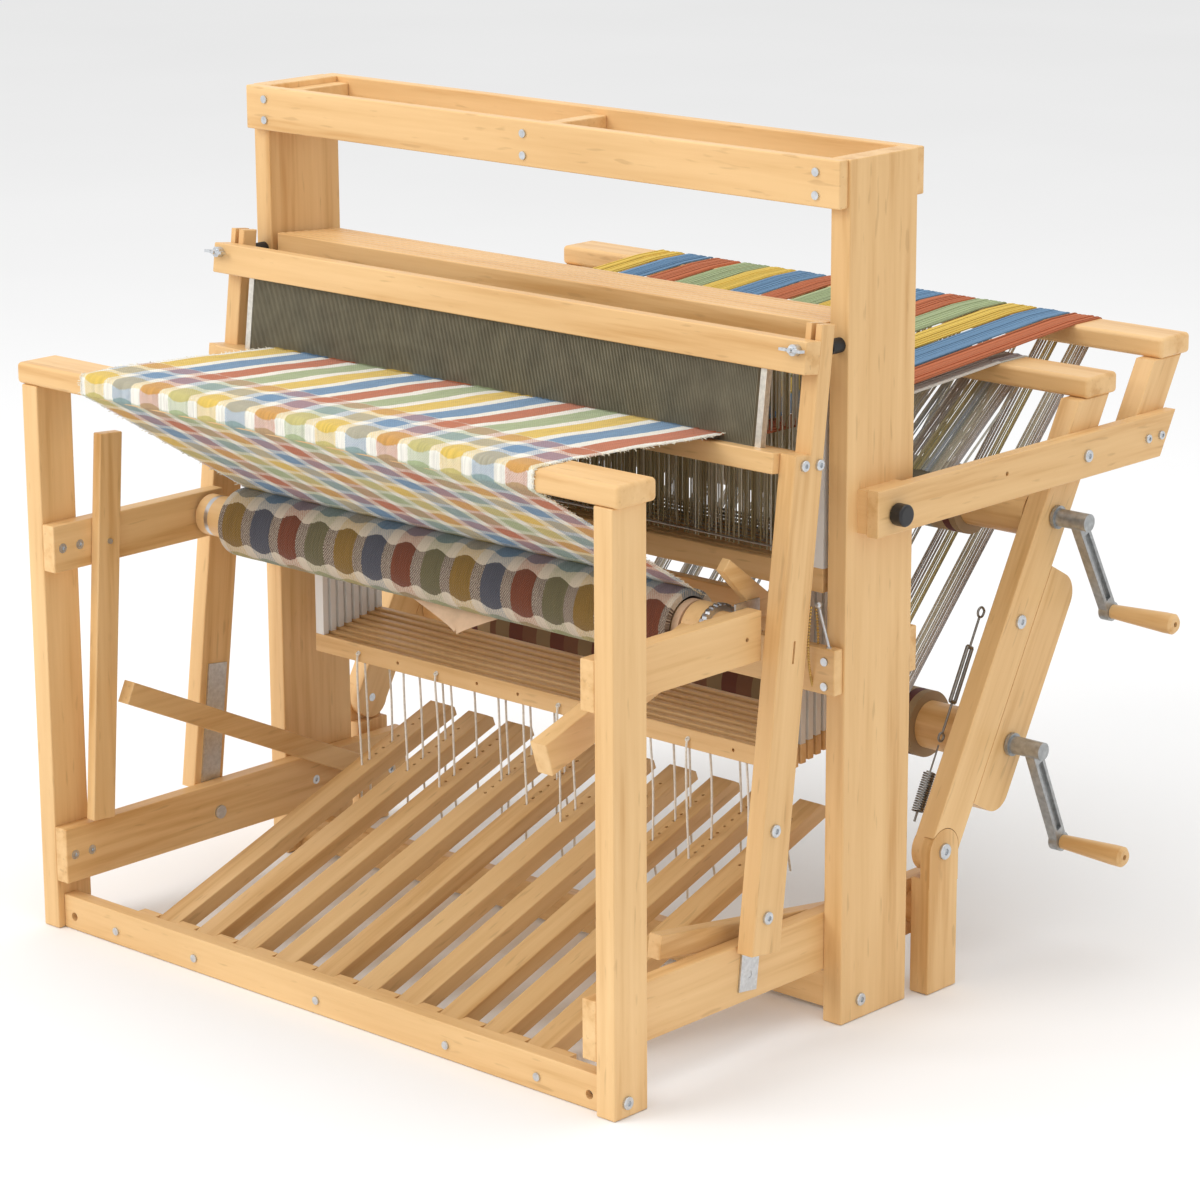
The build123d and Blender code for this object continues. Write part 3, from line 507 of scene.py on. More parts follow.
def repeated(piece, count, pitch):
    """Copies a piece across the loom at one pitch, and tells how many vertices each copy has."""
    each = len(piece.data.vertices)
    modified(piece, "ARRAY", count=count, use_relative_offset=False,
             use_constant_offset=True, constant_offset_displace=(pitch, 0.0, 0.0))
    return each


def thread_sheet(route, width, pitch, half, face_turn, seed):
    """Threads side by side over the width of the warp, each a little out of place."""
    wander = 0.0006
    count = int(2 * half / pitch)
    piece = strand([(-half, y, z) for _, y, z in route], width, width * 0.8, face_turn)
    each = repeated(piece, count, pitch)
    draw = random.Random(seed)
    moves = [(draw.uniform(-wander, wander), draw.uniform(-wander, wander)) for _ in range(count)]
    for vertex in piece.data.vertices:
        sideways, lift = moves[vertex.index // each]
        vertex.co.x += sideways
        vertex.co.z += lift
    outward(piece)
    return piece


def tube(name, lines, radius, resolution=3):
    """Round wires or cords, each along its line of points, as one closed mesh."""
    curve = bpy.data.curves.new(name, "CURVE")
    curve.dimensions = "3D"
    curve.bevel_depth = radius
    curve.bevel_resolution = 2
    curve.resolution_u = resolution
    curve.use_fill_caps = True
    for line in lines:
        spline = curve.splines.new("NURBS")
        spline.points.add(len(line) - 1)
        for point, place in zip(spline.points, line):
            point.co = (*place, 1.0)
        spline.order_u = 3
        spline.use_endpoint_u = True
    piece = bpy.data.objects.new(name, curve)
    bpy.context.scene.collection.objects.link(piece)
    take(piece)
    bpy.ops.object.convert(target="MESH")
    bpy.ops.object.shade_smooth()
    return piece


def arc(centre, radius, start, end, count):
    """Points of an arc in Y and Z, angles in degrees from +Y towards +Z."""
    points = []
    for index in range(count + 1):
        angle = math.radians(start + (end - start) * index / count)
        points.append((0.0, centre[0] + radius * math.cos(angle), centre[1] + radius * math.sin(angle)))
    return points


def middle_of(node):
    """The middle of a node's box."""
    low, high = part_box(node)
    return (low + high) / 2


def tangent_above(start, centre, radius):
    """Where a line from a point touches a circle on its upper side, in Y and Z."""
    reach = Vector((centre[0] - start[0], centre[1] - start[1]))
    slope = math.atan2(reach.y, reach.x)
    side = math.asin(radius / reach.length)
    if reach.x < 0:
        side = -side
    turn = slope + side
    run = math.sqrt(reach.length ** 2 - radius ** 2)
    return start[0] + run * math.cos(turn), start[1] + run * math.sin(turn)


# ---------------------------------------------------------------- operators


class LOOM_OT_maple(bpy.types.Operator):
    """Gives every board its maple, with the grain along the board"""

    bl_idname = "loom.maple"
    bl_label = "Maple boards"

    def execute(self, context):
        paint(maple("maple_across", "X"), "breast_beam", "foot_bar", "castle_top_rails", "castle_mid_rails",
              "castle_stretcher", "frame_spacers", "inner_back_beam", "outer_back_beam")
        paint(maple("maple_deep", "Y"), "upper_side_rails", "lower_side_rails", "brace_boards")
        pedals = maple("maple_pedals", "Y", 0.0, 0.93)
        paint(pedals, "brake_pedal_left", "brake_pedal_right", "advance_lever", "pawl_lever")
        upright = maple("maple_upright", "Z")
        paint(upright, "front_posts", "castle_post_left", "castle_post_right", "rear_legs", "prop_bar")
        paint(maple("maple_leaning", "Z", UPRIGHT_LEAN), "rear_uprights", "rear_side_boards")
        paint(maple("maple_swords", "Z", BEATER_LEAN), "beater_swords")
        paint(maple("maple_beater", "X"), "race_board", "reed_cap")
        slope = math.radians(90) - TREADLE_SLOPE
        # The treadles are the same maple as the other boards; their 0.88 darkening is painted shade, for the
        # shadow they lie in.
        shaded_treadle_maple = maple("maple_treadles_painted_shade", "Z", slope, 0.88)
        paint(shaded_treadle_maple, *[f"treadle_{number}" for number in range(1, TREADLES + 1)])
        paint(maple("maple_handles", "X", 0.0, 0.95), "upper_crank_handle", "lower_crank_handle")
        return {"FINISHED"}


class LOOM_OT_shafts(bpy.types.Operator):
    """Finishes the shafts: maple bars with white plastic side strips"""

    bl_idname = "loom.shafts"
    bl_label = "Shafts"

    def execute(self, context):
        strip_white, rod_steel = (0.80, 0.79, 0.76, 1.0), (0.5, 0.5, 0.5, 1.0)
        lower, upper = (0.3496, 0.3634), (0.3993, 0.4127)
        tie_bar, top_bar, clear = 0.022, 0.026, 0.0002
        heddle_low, heddle_high = 0.474, 0.500
        for number in range(1, SHAFTS + 1):
            low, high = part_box(f"shaft_{number}")
            finish = maple(f"maple_shaft_{number}", "X", 0.0, 0.97)
            above, under = heddle_high + clear, high.z - top_bar - clear
            places = (((lower[0], -FAR, low.z + tie_bar), (lower[1], FAR, heddle_low)),
                      ((upper[0], -FAR, above), (upper[1], FAR, under)))
            for near, far in places:
                white = finish.second_finish(finish.inside(near, far), strip_white, 0.4)
                white.inputs["Specular IOR Level"].default_value = 0.4
            rods = finish.inside((-FAR, -FAR, above), (upper[0], FAR, under))
            finish.second_finish(rods, rod_steel, 0.35, 1.0)
            paint(finish, f"shaft_{number}")
        return {"FINISHED"}


class LOOM_OT_metal(bpy.types.Operator):
    """Finishes bolts, plates, cranks, knobs and beams"""

    bl_idname = "loom.metal"
    bl_label = "Metal and plastic"

    def execute(self, context):
        black = (0.012, 0.012, 0.012, 1.0)
        hardware = zinc_steel("zinc_steel")
        bumpers = hardware.inside((0.42, -FAR, 0.731), (0.446, FAR, 0.753))
        hardware.second_finish(bumpers, black, 0.6)
        paint(hardware, "frame_hardware")
        paint(zinc_steel("zinc_fittings"), "rear_hardware", "beater_hardware", "cap_nuts")
        paint(cast_metal("cast_cranks"), "upper_crank", "lower_crank")
        paint(plain("black_knobs", (0.012, 0.012, 0.013), 0.33), "brace_knob_left", "brace_knob_right")
        paint(zinc_steel("reed_binding", (0.70, 0.67, 0.60), 0.4), "reed")
        core = maple("cloth_beam_maple", "X")
        for start, end in ((0.3769, 0.3831), (0.397, 0.6)):
            self.steel_part(core, start, end)
        paint(core, "cloth_beam")
        pale = [(0.30, 0.29, 0.24), (0.42, 0.40, 0.36), (0.24, 0.22, 0.16)]
        brown = [(0.16, 0.07, 0.035), (0.22, 0.15, 0.075), (0.12, 0.035, 0.02)]
        self.wound_beam("upper_warp_beam", pale)
        self.wound_beam("lower_warp_beam", brown)
        return {"FINISHED"}

    @staticmethod
    def steel_part(wood, start, end):
        """Steel on both sides of the loom, from one distance off its middle to another."""
        mask = wood.inside((start, -FAR, -FAR), (end, FAR, FAR))
        wood.second_finish(mask, (0.55, 0.56, 0.58, 1.0), 0.35, 1.0)

    def wound_beam(self, name, tones):
        """A wooden beam with wound warp, rings of packing paper at the warp's ends, and steel axle ends."""
        warp_end, paper_start, axle_start, ring = 0.3452, 0.304, 0.4316, 0.0105
        papers = [(0.30, 0.20, 0.10), (0.34, 0.235, 0.125), (0.36, 0.25, 0.13), (0.10, 0.02, 0.015)]
        wood = maple(f"{name}_maple", "X")
        place = wood.node("ShaderNodeSeparateXYZ", {0: wood.coords.outputs["Object"]}).outputs[0]
        wound = wood.inside((-FAR, -FAR, -FAR), (warp_end, FAR, FAR))
        bands = band_colours(wood, wood.math("ADD", place, 1.0), STRIPE_PITCH / 2, tones)
        wood.second_finish(wound, bands, 0.9)
        wrapped = wood.inside((paper_start, -FAR, -FAR), (warp_end, FAR, FAR))
        rings = band_colours(wood, wood.math("ABSOLUTE", place), ring, papers)
        wood.second_finish(wrapped, rings, 0.7)
        self.steel_part(wood, axle_start, 0.6)
        paint(wood, name)


class LOOM_OT_cloth(bpy.types.Operator):
    """Weaves the cloth from the reed over the breast beam down to its roll"""

    bl_idname = "loom.cloth"
    bl_label = "Cloth"
    columns = 240

    def execute(self, context):
        thickness = context.scene.loom_cloth.thickness
        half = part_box("cloth")[1].x
        route, fold = self.route(thickness)
        lengths = [0.0]
        for first, second in zip(route, route[1:]):
            lengths.append(lengths[-1] + (second - first).length)
        deselect()
        bpy.ops.mesh.primitive_grid_add(x_subdivisions=self.columns, y_subdivisions=len(route) - 1, size=1.0)
        piece = bpy.context.object
        self.lay(piece.data, route, lengths, half, lengths[fold])
        modified(piece, "SOLIDIFY", thickness=thickness, offset=0.0)
        take(piece)
        bpy.ops.object.shade_smooth()
        bare, weft_start, weft_pitch = 0.176, 0.1725, 0.0397
        cotton = woven("woven_cotton", bare, weft_start, weft_pitch, self.weft_order())
        dress(piece, "woven_cloth", cotton, "frame")
        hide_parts("cloth")
        self.fringe(route, half)
        return {"FINISHED"}

    def route(self, thickness):
        """The cloth's way in Y and Z from the reed to the roll, and which point lies at the beam's edge."""
        reed_points, beam_points, corner = 50, 14, 0.006
        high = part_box("cloth")[1]
        beam_low, beam_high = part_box("breast_beam")
        roll_low, roll_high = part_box("cloth_roll")
        centre = middle_of("cloth_roll")
        roll_radius = (roll_high.z - roll_low.z) / 2
        lift = thickness * 0.6
        fell = (high.y, high.z - FELL_DROP)
        edge = (beam_high.y, beam_high.z + lift)
        route = self.run(fell, edge, reed_points)
        route += self.run(edge, (beam_low.y + corner, beam_high.z + lift), beam_points)[1:]
        bend = arc((beam_low.y + corner, beam_high.z - corner), corner + lift, 90, 180, 8)
        route += [Vector((y, z)) for _, y, z in bend[1:]]
        start = (beam_low.y - lift, beam_low.z + 0.004)
        route += self.run(tuple(route[-1]), start, 6)[1:]
        touch = tangent_above(start, (centre.y, centre.z), roll_radius + 0.0022)
        route += self.run(start, touch, 60)[1:]
        return route, reed_points + beam_points

    def lay(self, mesh, route, lengths, half, fold):
        """Lays a flat grid along the route, with uneven edges and puckers near the beam's edge."""
        draw = random.Random(7)
        edge = [draw.uniform(-0.0016, 0.0010) for _ in route]
        last = len(route) - 1
        grid = [(round((vertex.co.x + 0.5) * self.columns), round((vertex.co.y + 0.5) * last))
                for vertex in mesh.vertices]
        for vertex, (column, row) in zip(mesh.vertices, grid):
            share = column / self.columns * 2.0 - 1.0
            x = share * half
            if abs(share) > 0.985:
                x += math.copysign(edge[row], share)
            ahead = route[min(row + 1, last)] - route[max(row - 1, 0)]
            ahead.normalize()
            stripe = math.pi * (x + half) / STRIPE_PITCH
            near = math.exp(-(((lengths[row] - fold) / 0.022) ** 2))
            pucker = 0.0016 * near * abs(math.sin(stripe)) + 0.0004 * math.sin(stripe * 2.0)
            wave = 0.0008 * math.sin(lengths[row] * 38.0 + x * 9.0) * (1.0 - near)
            lift = max(0.0, pucker) + max(0.0, wave)
            vertex.co = Vector((x, route[row].x + ahead.y * lift, route[row].y - ahead.x * lift))
        layer = mesh.uv_layers.active
        for loop in mesh.loops:
            column, row = grid[loop.vertex_index]
            layer.data[loop.index].uv = (column / self.columns * 2 * half, lengths[row])

    @staticmethod
    def weft_order():
        """The weft's colours from the reed forwards."""
        yellow, blue, rust, sage = palette()[0]
        return [rust, blue, yellow, sage]

    @staticmethod
    def run(first, second, count):
        """Evenly spaced points of a straight run in Y and Z."""
        first, second = Vector(first), Vector(second)
        return [first.lerp(second, index / count) for index in range(count + 1)]

    @staticmethod
    def fringe(route, half):
        """Short thread ends along both edges of the cloth."""
        draw = random.Random(11)
        lines = []
        for point in route:
            for side in (-1.0, 1.0):
                for _ in range(2):
                    reach = draw.uniform(0.0015, 0.0045)
                    base = Vector((side * (half - 0.001), point.x + draw.uniform(-0.003, 0.003), point.y))
                    slant, rise = draw.uniform(-0.003, 0.003), draw.uniform(-0.002, 0.002)
                    tip = base + Vector((side * reach, slant, rise))
                    middle = (base + tip) / 2 + Vector((0.0, 0.0, draw.uniform(-0.001, 0.0015)))
                    lines.append([base, middle, tip])
        piece = tube("cloth_fringe", lines, 0.0004, 2)
        ecru = plain("fringe_cotton", (0.78, 0.72, 0.58), 0.9, 0.3, 90.0)
        dress(piece, "cloth_fringe", ecru, "frame")


class LOOM_OT_cloth_roll(bpy.types.Operator):
    """Winds cloth and paper on the cloth beam"""

    bl_idname = "loom.cloth_roll"
    bl_label = "Cloth roll"

    def execute(self, context):
        low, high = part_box("cloth_roll")
        centre = middle_of("cloth_roll")
        radius = (high.z - low.z) / 2
        core = 0.0245
        half = high.x
        segments, columns = 72, 180
        deselect()
        bpy.ops.mesh.primitive_grid_add(x_subdivisions=columns, y_subdivisions=segments, size=1.0)
        piece = bpy.context.object
        mesh = piece.data
        turns = [(vertex.co.x + 0.5, vertex.co.y + 0.5) for vertex in mesh.vertices]
        for vertex, (share, turn) in zip(mesh.vertices, turns):
            x = (share * 2.0 - 1.0) * half
            stripe = math.pi * (x + half) / STRIPE_PITCH
            bulge = 0.0010 * abs(math.sin(stripe)) * (0.6 + 0.4 * math.sin(turn * 25.0))
            angle = turn * 2.0 * math.pi
            reach = radius - 0.0016 + bulge - 0.0006 * turn
            vertex.co = (x, centre.y + reach * math.cos(angle), centre.z + reach * math.sin(angle))
        layer = mesh.uv_layers.active
        for loop in mesh.loops:
            share, turn = turns[loop.vertex_index]
            layer.data[loop.index].uv = (share * 2 * half, turn * 2 * math.pi * radius)
        modified(piece, "SOLIDIFY", thickness=radius - core - 0.002, offset=-1.0)
        outward(piece)
        bpy.ops.object.shade_smooth_by_angle(angle=ROUGH_EDGE_ANGLE)
        yellow, blue, _, sage = palette()[0]
        pitch = 2 * math.pi * radius / 4
        # shade is painted shade: it darkens the wound cloth for the shadow that the cloth above casts on the
        # roll; the maroon is the weft's own colour.
        maroon, shade = (0.060, 0.014, 0.006), (0.66, 0.56, 0.46)
        wefts = [maroon, sage, yellow, blue]
        wound = woven("wound_cotton_painted_shade", -1.0, pitch * 1.38, pitch, wefts, 0.66, 0.76, shade)
        dress(piece, "wound_cloth", wound, "cloth_beam_body")
        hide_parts("cloth_roll")
        self.paper(centre, radius, half)
        return {"FINISHED"}

    @staticmethod
    def paper(centre, radius, half):
        """Packing paper: a sleeve at the right end and a loose corner below."""
        sleeve_width = 0.009
        deselect()
        place = (half + sleeve_width / 2, centre.y, centre.z)
        bpy.ops.mesh.primitive_cylinder_add(vertices=64, radius=radius - 0.004, depth=sleeve_width,
                                            end_fill_type="NOTHING", location=place,
                                            rotation=(0, math.radians(90), 0))
        sleeve = bpy.context.object
        apply_place(sleeve)
        modified(sleeve, "SOLIDIFY", thickness=0.006, offset=-1.0)
        take(sleeve)
        bpy.ops.object.shade_smooth_by_angle(angle=ROUGH_EDGE_ANGLE)
        kraft = plain("packing_paper", (0.62, 0.42, 0.27), 0.8, 0.12, 60.0)
        dress(sleeve, "roll_paper", kraft, "cloth_beam_body")
        deselect()
        bpy.ops.mesh.primitive_grid_add(x_subdivisions=24, y_subdivisions=12, size=1.0)
        corner = bpy.context.object
        for vertex in corner.data.vertices:
            across, down = vertex.co.x + 0.5, vertex.co.y + 0.5
            width = 0.150 * (1.0 - down) ** 1.2 + 0.004
            x = 0.020 + (across - 0.62) * width
            angle = math.radians(-118 + 18 * (1 - down))
            y = centre.y + (radius + 0.0012) * math.cos(angle) - 0.004 * down
            z = centre.z + (radius + 0.0012) * math.sin(angle) - 0.030 * down + 0.002 * math.sin(across * 5)
            vertex.co = (x, y, z)
        modified(corner, "SOLIDIFY", thickness=0.0005, offset=0.0)
        dress(corner, "paper_corner", kraft, "cloth_beam_body")


class LOOM_OT_warp(bpy.types.Operator):
    """Strings the warp from the reed through the shafts to both back beams and down to the warp beams"""

    bl_idname = "loom.warp"
    bl_label = "Warp"

    def execute(self, context):
        pitch = context.scene.loom_cloth.thread_pitch
        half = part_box("warp")[1].x - 0.004
        eye_height = 0.636
        leave = (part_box("shaft_8")[1].y + 0.012, eye_height)
        self.bright_warp(pitch, half, leave)
        self.pale_warp(pitch, half, leave)
        soft = [(0.66, 0.63, 0.56), (0.92, 0.90, 0.84), (0.54, 0.62, 0.70), (0.70, 0.62, 0.28),
                (0.52, 0.44, 0.40), (0.76, 0.73, 0.58), (0.86, 0.84, 0.78)]
        muted = mixed_threads("muted_threads", soft)
        outer = self.drop("outer_warp_drop", "outer_back_beam", "lower_warp_beam", muted, pitch, half, False)
        self.thin_out(outer, half, 0.10, 0.80, 0.12)
        inner = self.drop("inner_warp_drop", "inner_back_beam", "upper_warp_beam", muted, pitch, half, True)
        self.thin_out(inner, half, 0.0, 0.96, 0.05)
        return {"FINISHED"}

    def bright_warp(self, pitch, half, leave):
        """Coloured threads from the cloth through the heddles' eyes and over the outer back beam."""
        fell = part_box("cloth")[1]
        eye_y, eye_z = middle_of("shaft_4").y, leave[1]
        low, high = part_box("outer_back_beam")
        top = high.z + THREAD_GAP
        lifted = (leave[0], eye_z + 0.004)
        front = [(fell.y, fell.z - FELL_DROP), (eye_y - 0.045, eye_z), (eye_y + 0.045, eye_z), lifted]
        over = [lifted, (low.y + 0.004, top), (high.y - BEAM_CORNER, top)]
        route = self.spaced(front, 3) + self.spaced(over, 20)[1:]
        route += arc((high.y - BEAM_CORNER, high.z - BEAM_CORNER), BEAM_CORNER + THREAD_GAP, 75, -5, 4)
        behind = high.y + THREAD_GAP
        route += self.spaced([(behind, high.z - BEAM_CORNER), (behind, low.z + BEAM_CORNER)], 2)[1:]
        piece = thread_sheet(route, pitch * 1.02, pitch, half, math.radians(90), 3)
        self.thin_out(piece, half, 0.035, 0.955, 0.03)
        dress(piece, "bright_warp", striped_threads("bright_threads", palette()[0]), None)
        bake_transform(piece)
        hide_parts("warp")

    def pale_warp(self, pitch, half, leave):
        """Natural threads from the shafts to the inner back beam."""
        white = palette()[1]
        tones = [white, tuple(0.92 * part for part in white), (0.76, 0.72, 0.64)]
        low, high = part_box("inner_back_beam")
        top = high.z + THREAD_GAP
        route = self.spaced([(leave[0], leave[1] - 0.006), (low.y + 0.004, top)], 18)
        piece = thread_sheet(route, pitch * 0.8, pitch, half, math.radians(90), 5)
        dress(piece, "pale_warp", mixed_threads("pale_threads", tones), None)
        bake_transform(piece)

    @staticmethod
    def spaced(corners, count):
        """Points along straight runs through corners given in Y and Z."""
        points = [(0.0, *corners[0])]
        for first, second in zip(corners, corners[1:]):
            for index in range(1, count + 1):
                share = index / count
                y = first[0] + (second[0] - first[0]) * share
                z = first[1] + (second[1] - first[1]) * share
                points.append((0.0, y, z))
        return points

    def drop(self, name, back_beam, beam, finish, pitch, half, over_top):
        """Threads down from a back beam to a warp beam, from the top or from the rear face's lower edge."""
        low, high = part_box(back_beam)
        beam_low, beam_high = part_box(beam)
        centre = ((beam_low.y + beam_high.y) / 2, (beam_low.z + beam_high.z) / 2)
        radius = (beam_high.z - beam_low.z) / 2 + 0.001
        leave = (high.y + THREAD_GAP, low.z + BEAM_CORNER)
        route = []
        if over_top:
            top = high.z + THREAD_GAP
            route = self.spaced([(low.y + 0.004, top), (high.y - BEAM_CORNER, top)], 2)
            route += arc((high.y - BEAM_CORNER, high.z - BEAM_CORNER), BEAM_CORNER + THREAD_GAP, 75, 15, 4)
        route += self.spaced([leave, tangent_above(leave, centre, radius)], 4)
        piece = thread_sheet(route, pitch, pitch, half, math.radians(45), 9)
        return dress(piece, name, finish, "rear_frame")

    @staticmethod
    def thin_out(piece, half, first, last, chance):
        """Takes out the threads between the bands, and a few others by chance."""
        draw = random.Random(17)
        lost = [draw.random() < chance for _ in range(2000)]
        take(piece)
        bpy.ops.object.mode_set(mode="EDIT")
        bpy.ops.mesh.select_mode(type="VERT")
        bpy.ops.mesh.select_all(action="DESELECT")
        bpy.ops.object.mode_set(mode="OBJECT")
        for vertex in piece.data.vertices:
            place = ((vertex.co.x + half) % STRIPE_PITCH) / STRIPE_PITCH
            number = int((vertex.co.x + half) / THREAD_PITCH)
            vertex.select = not first < place < last or lost[number]
        bpy.ops.object.mode_set(mode="EDIT")
        bpy.ops.mesh.select_linked()
        bpy.ops.mesh.delete(type="VERT")
        bpy.ops.object.mode_set(mode="OBJECT")


class LOOM_OT_heddles(bpy.types.Operator):
    """Hangs wire heddles in every shaft"""

    bl_idname = "loom.heddles"
    bl_label = "Heddles"

    def execute(self, context):
        wire = self.wire()
        for number in range(1, SHAFTS + 1):
            low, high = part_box(f"shaft_{number}")
            y = (low.y + high.y) / 2
            bottom, top = 0.507, high.z - 0.0325
            count, first, pitch = 108, -0.391, 0.0073
            piece = self.heddle(first, y, bottom, top)
            each = repeated(piece, count, pitch)
            draw = random.Random(40 + number)
            slide = [draw.uniform(-0.0026, 0.0026) for _ in range(count)]
            for vertex in piece.data.vertices:
                vertex.co.x += slide[vertex.index // each]
            outward(piece)
            dress(piece, f"heddles_{number}", wire, f"shaft_{number}_body")
        return {"FINISHED"}

    @staticmethod
    def wire():
        """Tinned wire with a brassy tone, which differs from heddle to heddle."""
        finish = Finish("heddle_wire")
        place = finish.node("ShaderNodeSeparateXYZ", {0: finish.coords.outputs["Object"]})
        number = finish.math("FLOOR", finish.math("DIVIDE", place.outputs[0], 0.0031))
        chance = finish.node("ShaderNodeTexWhiteNoise", {"W": number}, noise_dimensions="1D").outputs["Value"]
        tones = [(0.0, (0.30, 0.23, 0.12)), (0.35, (0.42, 0.35, 0.18)), (0.7, (0.60, 0.54, 0.38)),
                 (1.0, (0.85, 0.82, 0.72))]
        finish.give(finish.shader.inputs["Base Color"], finish.ramp(chance, tones))
        finish.shader.inputs["Metallic"].default_value = 0.35
        finish.shader.inputs["Roughness"].default_value = 0.4
        return finish

    @staticmethod
    def heddle(x, y, bottom, top):
        """One flat wire with a wider eye halfway up."""
        middle, eye, eye_width = (bottom + top) / 2, 0.006, 2.6
        deselect()
        bpy.ops.mesh.primitive_plane_add(size=1.0, location=(x, y, bottom))
        piece = bpy.context.object
        piece.scale = (0.0007, 0.0016, 1.0)
        apply_place(piece)
        bpy.ops.object.mode_set(mode="EDIT")
        bpy.ops.mesh.select_all(action="SELECT")
        heights = [middle - eye, middle, middle + eye, top]
        widths = [1.0, eye_width, 1.0 / eye_width, 1.0]
        at = bottom
        for height, width in zip(heights, widths):
            bpy.ops.mesh.extrude_region_move(TRANSFORM_OT_translate={"value": (0, 0, height - at)})
            bpy.ops.transform.resize(value=(width, 1.0, 1.0))
            at = height
        bpy.ops.object.mode_set(mode="OBJECT")
        return piece


class LOOM_OT_reed(bpy.types.Operator):
    """Fills the reed with fine steel dents"""

    bl_idname = "loom.reed"
    bl_label = "Reed"

    def execute(self, context):
        low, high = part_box("reed")
        centre = (low + high) / 2
        half = high.x - 0.009
        deselect()
        place = (-half, centre.y, centre.z)
        bpy.ops.mesh.primitive_cube_add(size=1.0, location=place, rotation=(-BEATER_LEAN, 0, 0))
        piece = bpy.context.object
        piece.scale = (0.0006, 0.0066, 0.0832)
        apply_place(piece)
        repeated(piece, int(2 * half / THREAD_PITCH), THREAD_PITCH)
        # The dents are dark brownish grey: partly the steel's own colour, partly painted shade for the shaded
        # sides of the closely packed plates.
        finish = plain("reed_dents", (0.30, 0.27, 0.19), 0.45, 0.15, 40.0)
        finish.shader.inputs["Metallic"].default_value = 0.3
        dress(piece, "reed_dents", finish, "beater")
        return {"FINISHED"}


class LOOM_OT_tie_cords(bpy.types.Operator):
    """Ties white cords from the shafts' lower bars to the treadles"""

    bl_idname = "loom.tie_cords"
    bl_label = "Tie-up cords"
    shafts_of_treadles = ((1, 2, 5), (2, 4, 7), (1, 3, 6), (4, 5, 8), (2, 6, 7),
                          (1, 3, 8), (3, 4, 6), (2, 5, 7), (1, 4, 8), (3, 6, 8))

    def execute(self, context):
        hole_rise, board_top, bar_knot, treadle_knot = 0.011, 0.019, 0.0030, 0.0042
        cotton = plain("tie_cord", (0.80, 0.76, 0.68), 0.85, 0.1, 300.0, 0.4)
        draw = random.Random(21)
        for number, shafts in enumerate(self.shafts_of_treadles, start=1):
            low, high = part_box(f"treadle_{number}")
            x = (low.x + high.x) / 2
            lines = []
            for shaft in shafts:
                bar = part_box(f"shaft_{shaft}")[0]
                y, hole_z = bar.y, bar.z + hole_rise
                top_z = low.z + board_top + (y - low.y - 0.0095) * math.tan(TREADLE_SLOPE)
                lines.append(self.cord(x, y, hole_z, top_z, draw))
                under = (x + draw.uniform(-0.002, 0.002), y + 0.001, top_z - 0.026)
                lines.append(self.knot(under, treadle_knot))
                lines.append(self.knot((x, y - 0.0015, hole_z), bar_knot))
            piece = tube(f"tie_cords_{number}", lines, 0.0013)
            dress(piece, f"tie_cords_{number}", cotton, None)
            y = high.y - 0.08
            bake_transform(piece)
        return {"FINISHED"}

    @staticmethod
    def cord(x, y, hole_z, top_z, draw):
        """One cord from the bar's hole down through the treadle to a loose end."""
        bend = draw.uniform(-0.003, 0.003)
        end = draw.uniform(0.018, 0.036)
        points = [(x, y + 0.006, hole_z), (x, y - 0.002, hole_z + 0.0005), (x, y - 0.004, hole_z - 0.010)]
        points += [(x + bend, y - 0.001, (hole_z + top_z) / 2), (x, y + 0.001, top_z + 0.006)]
        points += [(x, y + 0.001, top_z - 0.020), (x + bend, y + 0.001, top_z - 0.030)]
        points += [(x + bend * 2, y + 0.003, top_z - 0.028 - end)]
        return points

    @staticmethod
    def knot(centre, size):
        """A small overhand knot: two tight turns."""
        points = []
        for index in range(15):
            angle = index * math.radians(52)
            height = size * 0.55 * math.sin(index * 0.9)
            points.append((centre[0] + size * 0.62 * math.cos(angle),
                           centre[1] + size * 0.62 * math.sin(angle), centre[2] + height))
        return points


